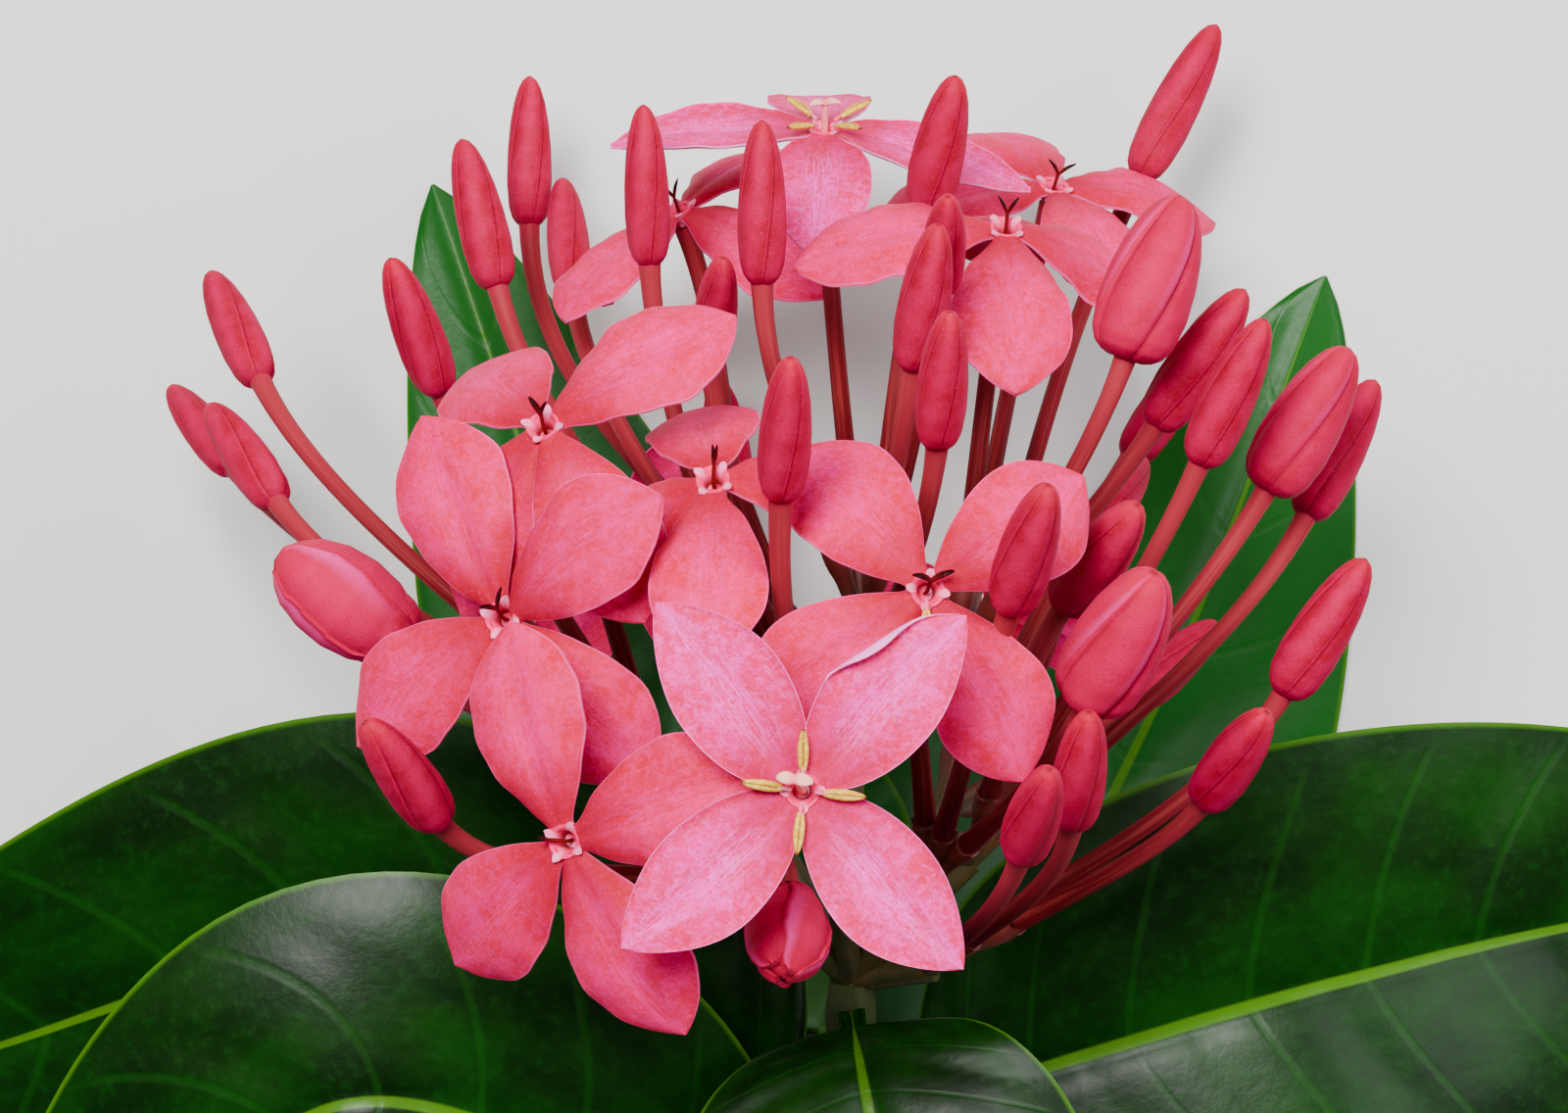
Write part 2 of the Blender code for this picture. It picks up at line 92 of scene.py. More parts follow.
BRANCH_RADIUS = 1.0
BRANCH_SIDES = 14
BRANCH_RINGS = 12
BRANCH_SINK = 0.6
BRANCH_SEED = 0.5
PEDICEL_LENGTH = 8.0
PEDICEL_SIDES = 16
PEDICEL_STEPS = 14
PEDICEL_PROFILE = ((0.0, 0.72), (0.45, 0.66), (0.66, 0.74), (0.78, 1.0), (0.90, 1.08), (1.0, 1.02))
CALYX_TEETH = 4
CALYX_TOOTH_HEIGHT = 0.55
CALYX_RADIUS = 1.06
CALYX_FLARE = 0.1
CALYX_RIM = 0.08
CALYX_WALL = 0.12
CUP_DEPTH = 0.05
CUP_FLOOR_RADIUS = 0.55

TUBE_RADIUS = 0.8
TUBE_SIDES = 18
TUBE_STEPS = 26
TUBE_WAIST = 0.10
TUBE_MOUTH_SWELL = 0.14
TUBE_MOUTH_POWER = 12
TUBE_FOOT_SWELL = 0.10
TUBE_FOOT_POWER = 10
TUBE_BEND_START = 0.3
TUBE_BEND_END = 0.32
TUBE_POINTS = 301
# How many of a tube's last points its throat takes
THROAT_POINTS = 10

BUD_SIDES = 56
BUD_RINGS = 46
BUD_PROFILE = ((0.0, 0.38), (0.018, 0.57), (0.055, 0.76), (0.13, 0.91), (0.3, 1.0), (0.5, 0.965),
               (0.68, 0.86), (0.82, 0.70), (0.92, 0.50), (0.975, 0.30), (1.0, 0.06))
BUD_REACH = 0.975
BUD_SEAT = -0.35
BUD_TWIST = math.radians(50)
# How plump a bud is runs from 0 at the slim share of width to length, to 1 after the range
BUD_SLIM_SHARE = 0.36
BUD_PLUMP_RANGE = 0.25
BUD_LOBE_DEPTH = 0.035
BUD_LOBE_ROUNDNESS = 0.75
BUD_LOBE_LEVEL = 0.6
BUD_FOOT_LOBES = 2.2
BUD_FOOT_SHARE = 0.06
BUD_PLUMP_LOBES = 1.6
BUD_STEP = 0.03
BUD_PLUMP_STEP = 0.05
BUD_SEAM_DEPTH = 0.028
BUD_SEAM_WIDTH = 0.05

THROAT_RADIUS = 1.5
THROAT_SIDES = 96
THROAT_NOTCH = 0.14
THROAT_NOTCHES = 3.0
THROAT_SCALE_LIFT = 0.5
THROAT_NOTCH_LIFT = 2.0
# Rings of the throat from outside to inside: height, share of the radius, size of the scales
# and place in the run of its colours
THROAT_SHAPES = ((-1.0, 0.62, 0.0, 0.0), (-0.5, 0.76, 0.0, 0.0), (0.05, 0.84, 0.12, 0.15),
                 (0.26, 0.86, 0.30, 0.3), (0.38, 0.80, 0.36, 0.4), (0.32, 0.70, 0.20, 0.5),
                 (0.16, 0.60, 0.08, 0.6), (-0.2, 0.48, 0.0, 0.75), (-0.8, 0.38, 0.0, 0.9),
                 (-2.0, 0.30, 0.0, 1.0))

PETAL_ROOT = 0.9
PETAL_ROWS = 34
PETAL_COLUMNS = 19
PETAL_ROW_EASE = 1.3
PETAL_THICKNESS = 0.46
PETAL_EDGE = 0.18
PETAL_EDGE_POWER = 4
PETAL_CLAW = 1.0
PETAL_CLAW_SHARE = 0.3
PETAL_ROUNDNESS = 0.8
PETAL_SHOULDER = 0.62
PETAL_TIP_HALF = 0.10
PETAL_RELIEF_PACE = 1.05
PETAL_WAVE_POWER = 3
PETAL_TROUGH_CURVE = 1.5
PETAL_CREASE = 0.16
PETAL_CREASE_WIDTH = 0.10
PETAL_RIM_START = 0.86
PETAL_TWIST = math.radians(4)
PETAL_SWAY = 0.05
SIDE_SEED_STEP = 0.3
# Petals with one margin folded over, by the piece's name and the petal's number
PETAL_FOLDS = {("flower_1_detail", 0): 1.0}
FOLD_RADIUS = 0.42
FOLD_TURN = 2.75
FOLD_START = 0.36
FOLD_SHARE = 0.36
FOLD_ROUNDNESS = 0.8

ANTHER_START = 1.4
ANTHER_HEIGHT = 0.55
ANTHER_TURN = 43
ANTHER_LENGTH = 3.2
ANTHER_RADIUS = 0.40
ANTHER_LIFT = math.radians(16)
ANTHER_STEPS = 18
ANTHER_SIDES = 16
ANTHER_SPINDLE = (0.10, 0.97)
ANTHER_BROAD = 1.05
ANTHER_FLAT = 0.8
ANTHER_DROOP = 0.5
ANTHER_BALANCE = 0.35
ANTHER_CURLS = (0.0, 0.05, 0.12)
ANTHER_CURL_START = 0.75
ANTHER_CURL_REACH = 14
ANTHER_GROOVE = 0.34
ANTHER_GROOVE_WIDTH = 0.38
ANTHER_DARK_WIDTH = 0.45
# Anthers that old flowers still hold, by their bearing in the flower's face
STRAY_ANTHERS = {"flower_6": (262,)}
FILAMENT_START = 0.9
FILAMENT_HEIGHT = 0.5
FILAMENT_OVERLAP = 0.5
FILAMENT_RADIUS = 0.16
FILAMENT_SIDES = 8
FILAMENT_SHADE = 0.4

STYLE_ROOT = 1.5
STYLE_MOUTH = 0.2
STYLE_RINGS = 10
STYLE_SIDES = 10
STYLE_TURN = 12
STIGMA_STEPS = 12
STIGMA_SIDES = 14
STIGMA_SPINDLE = (0.18, 0.96)
STIGMA_LEAN = 0.7
STIGMA_BEND = 0.5
# How far a style leans across and along its flower's face, its fork's angle in the face,
# and its arms' spread and length
STYLES = {
    "plain": (0.0, 0.35, 0, 24, 1.7),
    "flower_1_detail": (-0.30, 0.42, 0, 78, 1.3),
    "flower_2_detail": (-1.0, 0.23, 90, 3, 0.9),
    "flower_3_detail": (0.09, 0.47, 48, 30, 1.9),
    "flower_4_detail": (0.08, 0.29, 161, 24, 1.6),
    "flower_5_detail": (0.16, 0.66, 176, 5, 1.7),
    "flower_6_detail": (0.09, 0.58, 178, 49, 1.8),
    "flower_7_detail": (0.0, 0.0, 0, 78, 1.3),
    "flower_9_detail": (0.10, 0.10, 0, 36, 1.7),
}

# Buds that are opening, with how far the tip of each of their four petals turns out
OPENING_BUDS = {"bud_32": (0.0, 0.5, 0.5, 0.0), "bud_33": (0.0, 0.0, 0.3, 0.0)}
OPENING_PROFILE = ((0.0, 0.34), (0.1, 0.62), (0.26, 0.88), (0.46, 1.0), (0.66, 0.95),
                   (0.82, 0.76), (0.93, 0.46), (1.0, 0.14))
OPENING_OUTLINE = ((0.0, 0.5), (0.2, 0.88), (0.5, 1.0), (0.7, 0.84), (0.86, 0.52),
                   (0.95, 0.34), (1.0, 0.08))
OPENING_GIRTH = 0.45
OPENING_WIDTH = 1.15
OPENING_OVERLAP = 0.32
OPENING_START = 0.74
OPENING_EASE = 1.5
OPENING_FLARE = 0.55
OPENING_DROP = 0.12
OPENING_CRUMPLE = 0.25
OPENING_TURN = 0.1
OPENING_TONE = 1.0
OPENING_CORE = 0.8
OPENING_SEED_STEP = 0.27

LEAF_ROWS = 72
LEAF_COLUMNS = 33
LEAF_THICKNESS = 0.7
LEAF_EDGE_THINNING = 0.6
LEAF_EDGE_POWER = 8
LEAF_TIP_HALF = 0.15
LEAF_WIDEST_POWER = 0.85
LEAF_ROUNDNESS = 0.72
LEAF_FOLD = 0.20
LEAF_WAVE = 0.9
LEAF_WAVES = 2.5
LEAF_VEINS = 10
LEAF_VEIN_SLANT = 0.10
LEAF_VEIN_CURVE = 1.3
LEAF_VEIN_RELIEF = 0.22
LEAF_VEIN_WIDTH = 0.13
LEAF_RELIEF_FULL = 8.0
LEAF_RELIEF_POWER = 6
LEAF_GROOVE = 0.35
LEAF_GROOVE_WIDTH = 0.9
LEAF_RIB_WIDTH = 1.0
LEAF_RIB_TAPER = 0.7
PETIOLE_SHARE = 0.07
PETIOLE_HALF_WIDTH = 1.0
# Leaves with a paler green
LEAF_LIGHTNESS = {"leaf_5": 1.0, "leaf_6": 1.0}

# Two waves make a ripple: each one's height, how often it comes and how far the seed shifts it
RIPPLE_WAVES = ((0.6, 1.0, 1.0), (0.4, 2.3, 1.7))
SPINDLE_ROUNDNESS = 0.6

# Noise in the materials: how far apart two seeds' patterns lie, and the relief's depth in metres
SEED_SPREAD = 37.0
FINE_RELIEF = 0.0002
MIDDLE_RELIEF = 0.0003
COARSE_RELIEF = 0.0006

# The camera looks straight down on the head, as far off as the photograph's
CAMERA_PLACE = Vector((-5.3, 33.5, 461.0))
CAMERA_LENS = 121.0
CAMERA_SENSOR = 36.0
CAMERA_CLIP = 0.01
FLOOR_HALF_WIDTH = 1500.0
FLOOR_LEVEL = -0.2
LIGHT_TARGET = Vector((0, 30, 10))
ROOM_LIGHT = 0.13

VALUE_NAMES = ("across", "along", "tone", "under", "seed")

Hub = namedtuple("Hub", "place parent")
Leaf = namedtuple("Leaf", "route half_width roll")
Flower = namedtuple("Flower", "hub place bearing tilt angles lifts length age")
Age = namedtuple("Age", "width_share widest_share curl trough quilt wave rim anthers style")
Style = namedtuple("Style", "material reach radius arm_widths")
Bud = namedtuple("Bud", "hub place bearing lean length width")
Light = namedtuple("Light", "place size power colour")

# A fresh flower is flat and keeps its anthers; an old one rolls its petals back
FRESH = Age(width_share=0.52, widest_share=0.50, curl=math.radians(5), trough=0.08, quilt=0.05,
            wave=0.16, rim=0.35, anthers=True, style=Style("fresh_stigma", 2.4, 0.27, (0.50, 0.22)))
OLD = Age(width_share=0.60, widest_share=0.60, curl=math.radians(20), trough=-0.16, quilt=0.09,
          wave=0.352, rim=0.0, anthers=False, style=Style("old_stigma", 1.2, 0.15, (0.29, 0.15)))

# The soft square lights, in metres from the frame's origin
LIGHTS = {
    "key": Light((-0.14, 0.28, 0.70), 0.28, 11.5, (1.0, 0.98, 0.97)),
    "fill": Light((0.45, 0.30, 0.55), 0.5, 6.0, (0.96, 0.97, 1.0)),
}

# Forks of the branching flower head, from the head's base
HUBS = {
    "base": Hub((0, 0, 0), None),
    "middle": Hub((0, 8, 2), "base"),
    "crown": Hub((0, 17, 2), "middle"),
    "left": Hub((-15, 16, 1), "base"),
    "left_front": Hub((-8, 8, 6), "base"),
    "front": Hub((-1, 7, 7), "base"),
    "right_low": Hub((6, 1, 3), "base"),
    "right_front": Hub((6, 8, 6), "base"),
    "right": Hub((9, 9, 1), "base"),
    "top": Hub((1, 27, 2), "crown"),
    "top_front": Hub((-1, 18, 7), "crown"),
    "top_left": Hub((-8, 24, 0), "crown"),
    "top_right": Hub((8, 24, 1), "crown"),
    "back_left": Hub((-7, 13, -4), "base"),
    "back_right": Hub((7, 13, -4), "base"),
    "back": Hub((0, 23, -4), "crown"),
}

# Leaf midribs, from the petiole's seat on the stem to the tip
LEAVES = {
    "leaf_1": Leaf(((-2.0, -27, 35.9), (-12, -23, 42), (-26, -12, 48), (-42, -10, 50),
                    (-57, -26, 42), (-66, -54, 22)), 18, -8),
    "leaf_2": Leaf(((-2.6, -11, 40), (-12, -7, 36), (-38, 2, 33), (-70, -7, 23), (-103, -20, 0)), 19, 0),
    "leaf_3": Leaf(((2.6, -11, 40), (14, -8, 38), (38, -1, 38), (64, 4, 29), (98, 5, 0)), 20, 0),
    "leaf_4": Leaf(((0, -2.5, 45.7), (1, -8, 51), (4, -24, 54), (9, -50, 44), (16, -84, 18)), 17, 0),
    "leaf_5": Leaf(((0, -4, 39.5), (-3, -7, 26), (-11.5, 3, 7), (-23.5, 30, -0.9), (-36, 66, 0)), 19, 0),
    "leaf_6": Leaf(((1.9, -27, 32.3), (8, -18, 19), (19, 4, 4), (30.5, 28, -0.9), (42, 58, 0)), 19, 0),
    "leaf_7": Leaf(((-1.9, -62, 20), (-14, -66, 20), (-36, -72, 13), (-62, -76, 4), (-92, -88, 0)), 18, 0),
    "leaf_8": Leaf(((3.35, -62, 20), (16, -63, 20), (38, -66, 13), (64, -68, 4), (95, -76, 0)), 18, 0),
}

# Open flowers: throat from the head's base, bearing and tilt of the face, angle and lift of each petal
FLOWERS = {
    "flower_1": Flower("front", (-4, 17, 46), 0, 2, (47, 128, 221, 312), (8, 10, 4, 6), 16.0, FRESH),
    "flower_2": Flower("left_front", (-21, 13, 38), 191, 26, (20, 109, 222, 299), (18, 14, 2, 6), 15.6, OLD),
    "flower_3": Flower("left_front", (-26, 29, 30), 160, 24, (28, 112, 212, 308), (32, 24, 6, -8), 15.6, OLD),
    "flower_4": Flower("left", (-23, 43, 29), 112, 38, (28, 124, 222, 294), (20, -8, -24, -12), 15.6, OLD),
    "flower_5": Flower("top_front", (-10.5, 39, 30), 100, 36, (10, 98, 192, 268),
                       (-20, -14, -30, 16), 14.6, OLD),
    "flower_6": Flower("right_front", (5, 31, 38), 45, 12, (37, 128, 218, 301), (4, -8, -6, 2), 15.2, OLD),
    "flower_7": Flower("top", (-2, 68, -10), 90, 62, (348, 92, 184, 268), (-8, -10, 2, -8), 16.5, FRESH),
    "flower_8": Flower("top_left", (-14, 62, -19), 112, 62, (52, 142, 232, 322),
                       (6, -20, 18, -10), 15.0, OLD),
    "flower_9": Flower("top_right", (17, 64, -19), 77, 58, (20, 110, 200, 290), (6, 4, 4, 14), 15.5, OLD),
    "flower_10": Flower("top_right", (12, 59, 6), 84, 50, (2, 84, 186, 272), (-16, -30, 6, 8), 16.0, OLD),
    "flower_11": Flower("back_left", (-19, 33, -27), 165, 155, (37, 127, 217, 307),
                        (10, 10, 10, 10), 13.0, OLD),
    "flower_12": Flower("back_right", (12, 28.5, -25), 60, 165, (15, 105, 195, 285),
                        (14, 14, 14, 14), 10.2, OLD),
}

# Closed buds: where the tube ends, its bearing in plan, its lean above the plan, and its size
BUDS = {
    "bud_1": Bud("left", (-48, 48, -12), 118, -34, 13.0, 3.9),
    "bud_2": Bud("left", (-51, 41, -20), 132, -42, 13.0, 3.6),
    "bud_3": Bud("left", (-46, 38, -5), 128, -36, 13.0, 3.9),
    "bud_4": Bud("left", (-33, 47, -6), 109, 30, 13.0, 4.0),
    "bud_5": Bud("top_left", (-29, 56, -18), 104, -6, 13.2, 4.1),
    "bud_6": Bud("back", (-27, 62, -32), 90, -3, 13.2, 3.8),
    "bud_7": Bud("crown", (-23, 56, -24), 97, -38, 13.0, 3.6),
    "bud_8": Bud("top_left", (-16, 57, -2), 92, 13, 13.2, 3.6),
    "bud_9": Bud("top", (-7, 55, 8), 90, 15, 13.2, 3.8),
    "bud_10": Bud("back_right", (24, 42, -27), 55, -20, 12.6, 4.0),
    "bud_11": Bud("top_front", (-11, 50, 2), 82, 50, 11.0, 3.4),
    "bud_12": Bud("top", (6, 61, -3), 78, 32, 13.0, 4.2),
    "bud_13": Bud("back_right", (25, 66, -30), 63, -3, 15.0, 4.2),
    "bud_14": Bud("top_right", (21, 49, 12), 71, 3, 13.6, 7.0),
    "bud_15": Bud("top_right", (24, 44, 3), 57, 7, 13.2, 4.4),
    "bud_16": Bud("right", (27, 41, 9), 67, 19, 13.0, 4.2),
    "bud_17": Bud("right", (33, 39, 0), 60, 3, 13.4, 6.0),
    "bud_18": Bud("right", (37, 37, -9), 62, -11, 13.2, 4.4),
    "bud_19": Bud("right", (20, 36, -3), 54, -50, 11.0, 3.4),
    "bud_20": Bud("right", (16, 30, 20), 57, 45, 13.0, 4.6),
    "bud_21": Bud("right_front", (11, 30, 38), 75, 41, 12.4, 4.2),
    "bud_22": Bud("right_front", (17, 23, 31), 65, 33, 13.0, 6.8),
    "bud_23": Bud("right_low", (34, 23, 4), 60, 15, 13.0, 4.6),
    "bud_24": Bud("right_low", (27, 15, 14), 61, 48, 12.4, 4.2),
    "bud_25": Bud("right_low", (16, 14, 28), 85, 45, 12.4, 4.0),
    "bud_26": Bud("right_low", (12, 12, 34), 77, 56, 12.4, 4.0),
    "bud_27": Bud("left_front", (-31, 14, 26), 122, 44, 13.0, 4.2),
    "bud_28": Bud("front", (-5.5, 38, 40), 86, 37, 12.6, 3.8),
    "bud_29": Bud("top", (4.5, 48, 20), 81, 32, 12.8, 4.0),
    "bud_30": Bud("top", (6.6, 54, 16), 87, 52, 11.0, 3.4),
    "bud_31": Bud("top_front", (6, 42, 29), 86, 38, 12.4, 3.8),
    "bud_32": Bud("left_front", (-5, 8.6, 33), 270, 50, 8.4, 6.2),
    "bud_33": Bud("left", (-34, 27, 18), 145, 5, 12.0, 8.0),
    "bud_34": Bud("back_left", (-32, 22, -16), 150, -35, 12.6, 4.0),
    "bud_35": Bud("back_left", (-24, 18, -23), 150, -40, 12.6, 4.0),
    "bud_36": Bud("back_left", (-9.5, 38, -30), 98, -24, 12.6, 4.0),
    "bud_37": Bud("back_right", (24, 22, -18), 40, -40, 12.6, 4.0),
    "bud_38": Bud("back_right", (15, 15, -20), 30, -45, 12.6, 4.0),
}


def even_shares(count):
    """Return count shares evenly spread from 0 to 1."""
    return [number / (count - 1) for number in range(count)]


def ring_angles(sides):
    """Return the angles of a ring's corners."""
    return [2 * math.pi * number / sides for number in range(sides)]


def swung(first, second, angle):
    """Return the direction at an angle from the first of two axes towards the second."""
    return first * math.cos(angle) + second * math.sin(angle)


def bell(distance, width):
    """Return 1 where distance is 0, falling smoothly to nothing over about twice the width."""
    return math.exp(-(distance / width) ** 2)


def spindle(share, ends):
    """Return a spindle's girth at a share of its length, from the part of a half wave that it takes."""
    return math.sin(math.pi * (ends[0] + (ends[1] - ends[0]) * share)) ** SPINDLE_ROUNDNESS


def ripple(share, seed, count=2.0):
    """Return a smooth value between -1 and 1 along an edge, different for each seed."""
    return sum(height * math.sin(2 * math.pi * (often * count * share + shift * seed))
               for height, often, shift in RIPPLE_WAVES)


def profile_at(profile, share):
    """Read a profile of (share, value) pairs, straight between its points."""
    for (low, before), (high, after) in zip(profile, profile[1:]):
        if share <= high:
            t = (share - low) / (high - low)
            return before + (after - before) * t
    return profile[-1][1]


def smooth_route(route, count):
    """Return count points evenly spread over a Catmull-Rom curve through the route."""
    knots = [Vector(point) for point in route]
    knots = [knots[0] * 2 - knots[1]] + knots + [knots[-1] * 2 - knots[-2]]
    spans = len(knots) - 3
    points = []
    for number in range(count):
        place = spans * number / (count - 1)
        span = min(int(place), spans - 1)
        t = place - span
        a, b, c, d = knots[span:span + 4]
        points.append(0.5 * (2 * b + (c - a) * t + (2 * a - 5 * b + 4 * c - d) * t * t
                             + (3 * b - a - 3 * c + d) * t ** 3))
    return points


def bend_route(start, end, facing, count):
    """Return points on a curve from start that arrives at end along facing."""
    first = start + (end - start) * TUBE_BEND_START
    second = end - facing * (end - start).length * TUBE_BEND_END
    points = []
    for t in even_shares(count):
        s = 1 - t
        points.append(start * s ** 3 + first * 3 * s * s * t + second * 3 * s * t * t + end * t ** 3)
    return points


def frames_along(points):
    """Return (point, tangent, side, up) at each point, turned as little as possible."""
    frames = []
    side = None
    last = len(points) - 1
    for number, point in enumerate(points):
        tangent = (points[min(number + 1, last)] - points[max(number - 1, 0)]).normalized()
        if side is None:
            side = RIGHT if abs(tangent.x) < SIDE_LIMIT else AHEAD
        side = (side - tangent * side.dot(tangent)).normalized()
        frames.append((point, tangent, side, tangent.cross(side)))
    return frames


def facing_frame(place, facing, side):
    """Return a ring frame at a place that looks along facing."""
    side = (side - facing * side.dot(facing)).normalized()
    return place, facing, side, facing.cross(side)


def plan_direction(bearing, lean):
    """Return the unit vector at a bearing in plan and a lean above the plan, in degrees."""
    return swung(swung(RIGHT, AHEAD, math.radians(bearing)), UP, math.radians(lean))


def head_point(item):
    """Return the place of a fork, a flower's throat or a bud's foot."""
    return HEAD_BASE + Vector(item.place)


def floret_path(floret, facing):
    """Split a floret's path into its pedicel, which the stem keeps, and its own tube."""
    fine = bend_route(head_point(HUBS[floret.hub]), head_point(floret), facing, TUBE_POINTS)
    lengths = [0.0]
    for before, after in zip(fine, fine[1:]):
        lengths.append(lengths[-1] + (after - before).length)
    pedicel = [point for point, length in zip(fine, lengths) if length <= PEDICEL_LENGTH]
    tube = [point for point, length in zip(fine, lengths) if length >= PEDICEL_LENGTH + SEAT_GAP]
    return pedicel, tube


def picked(points, count):
    """Return count of the points, evenly spread, with both ends."""
    last = len(points) - 1
    return [points[round(last * number / (count - 1))] for number in range(count)]


def flower_axes(flower):
    """Return the two in-plane axes and the normal of an open flower's face."""
    normal = plan_direction(flower.bearing, 90 - flower.tilt)
    across = (RIGHT - normal * RIGHT.dot(normal)).normalized()
    return across, normal.cross(across), normal


def new_object(name, data):
    """Make an object of its data and put it in the scene."""
    made = bpy.data.objects.new(name, data)
    bpy.context.scene.collection.objects.link(made)
    return made


class Piece:
    """The points, faces and shader values of one object, collected sub-part by sub-part."""

    def __init__(self, name):
        self.name = name
        self.points = []
        self.faces = []
        self.face_slots = []
        self.materials = []
        self.values = {value: [] for value in VALUE_NAMES}

    def add(self, points, faces, material, **values):
        """Add a sub-part in a named material. A value is one number, or a list with one for each point."""
        base = len(self.points)
        if material not in self.materials:
            self.materials.append(material)
        slot = self.materials.index(material)
        self.points += points
        for face in faces:
            self.faces.append(tuple(base + corner for corner in face))
            self.face_slots.append(slot)
        for name in VALUE_NAMES:
            value = values.get(name, 0.0)
            self.values[name] += value if isinstance(value, list) else [value] * len(points)

    def finish(self, node, slot):
        """Make the object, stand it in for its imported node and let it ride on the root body."""
        mesh = bpy.data.meshes.new(self.name)
        mesh.from_pydata([tuple((point + ORIGIN_SHIFT) * MM) for point in self.points], [], self.faces)
        for material in self.materials:
            mesh.materials.append(MATERIALS[material])
        mesh.polygons.foreach_set("material_index", self.face_slots)
        for name, numbers in self.values.items():
            attribute = mesh.attributes.new(name, "FLOAT", "POINT")
            attribute.data.foreach_set("value", numbers)
        work = bmesh.new()
        work.from_mesh(mesh)
        bmesh.ops.recalc_face_normals(work, faces=work.faces)
        work.to_mesh(mesh)
        work.free()
        mesh.shade_smooth()
        mesh.set_sharp_from_angle(angle=SHARP_ANGLE)
        made = new_object(self.name, mesh)
        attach(made, "root")
        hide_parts(node)


def add_loft(piece, material, rings, alongs, across=None, **values):
    """Add a closed tube through rings of points; alongs holds one value for each ring."""
    sides = len(rings[0])
    points = [point for ring in rings for point in ring]
    faces = []
    for row in range(len(rings) - 1):
        for number in range(sides):
            a = row * sides + number
            b = row * sides + (number + 1) % sides
            faces.append((a, b, b + sides, a + sides))
    faces.append(tuple(reversed(range(sides))))
    faces.append(tuple(range(len(points) - sides, len(points))))
    if across is None:
        across = [number / sides for number in range(sides)]
    along = [value for value in alongs for _ in range(sides)]
    piece.add(points, faces, material, along=along, across=across * len(rings), **values)


def round_ring(frame, radius, sides):
    """Return one plain round ring of points."""
    point, _, side, up = frame
    return [point + swung(side, up, angle) * radius for angle in ring_angles(sides)]


def add_rod(piece, material, route, radius, sides, along, **values):
    """Add a plain round rod along a route of points, with one value for its whole length."""
    rings = [round_ring(frame, radius, sides) for frame in frames_along(route)]
    add_loft(piece, material, rings, [along] * len(rings), **values)


def add_blade(piece, material, grid, across, along, **values):
    """Add a closed blade from a grid of (upper, lower) points, joined round the rim."""
    rows = len(grid)
    columns = len(across)
    count = rows * columns
    points = [pair[face] for face in (0, 1) for line in grid for pair in line]
    faces = []
    for row in range(rows - 1):
        for column in range(columns - 1):
            a = row * columns + column
            quad = (a, a + 1, a + columns + 1, a + columns)
            faces.append(quad)
            faces.append(tuple(count + corner for corner in reversed(quad)))
    rim = list(range(columns))
    rim += [row * columns + columns - 1 for row in range(1, rows)]
    rim += [(rows - 1) * columns + column for column in range(columns - 2, -1, -1)]
    rim += [row * columns for row in range(rows - 2, 0, -1)]
    for number, corner in enumerate(rim):
        after = rim[(number + 1) % len(rim)]
        faces.append((after, corner, count + corner, count + after))
    piece.add(points, faces, material, across=across * (2 * rows), under=[0.0] * count + [1.0] * count,
              along=[value for value in along for _ in range(columns)] * 2, **values)


def add_tube(piece, path, seed):
    """Add a floret's slender tube and return the frame at its end."""
    frames = frames_along(picked(path, TUBE_STEPS))
    shares = even_shares(TUBE_STEPS)
    rings = []
    for share, frame in zip(shares, frames):
        swell = 1 - TUBE_WAIST * math.sin(math.pi * share)
        swell += TUBE_MOUTH_SWELL * share ** TUBE_MOUTH_POWER
        swell += TUBE_FOOT_SWELL * (1 - share) ** TUBE_FOOT_POWER
        rings.append(round_ring(frame, TUBE_RADIUS * swell, TUBE_SIDES))
    add_loft(piece, "tube", rings, shares, seed=seed)
    return frames[-1]


def bud_ring(frame, radius, share, plumpness):
    """Return one ring of a bud: petals wound over each other, with a seam between each pair."""
    point, _, side, up = frame
    foot = BUD_FOOT_LOBES * math.exp(-share / BUD_FOOT_SHARE)
    depth = BUD_LOBE_DEPTH * (1 + foot + BUD_PLUMP_LOBES * plumpness)
    points = []
    for angle in ring_angles(BUD_SIDES):
        place = (PETALS * angle / (2 * math.pi)) % 1.0
        bulge = depth * (math.sin(math.pi * place) ** BUD_LOBE_ROUNDNESS - BUD_LOBE_LEVEL)
        step = (BUD_STEP + BUD_PLUMP_STEP * plumpness) * (place - 0.5)
        groove = BUD_SEAM_DEPTH * (1 + plumpness) * bell(min(place, 1 - place), BUD_SEAM_WIDTH)
        reach = radius * (1 + bulge + step - groove)
        points.append(point + swung(side, up, angle + BUD_TWIST * share) * reach)
    return points


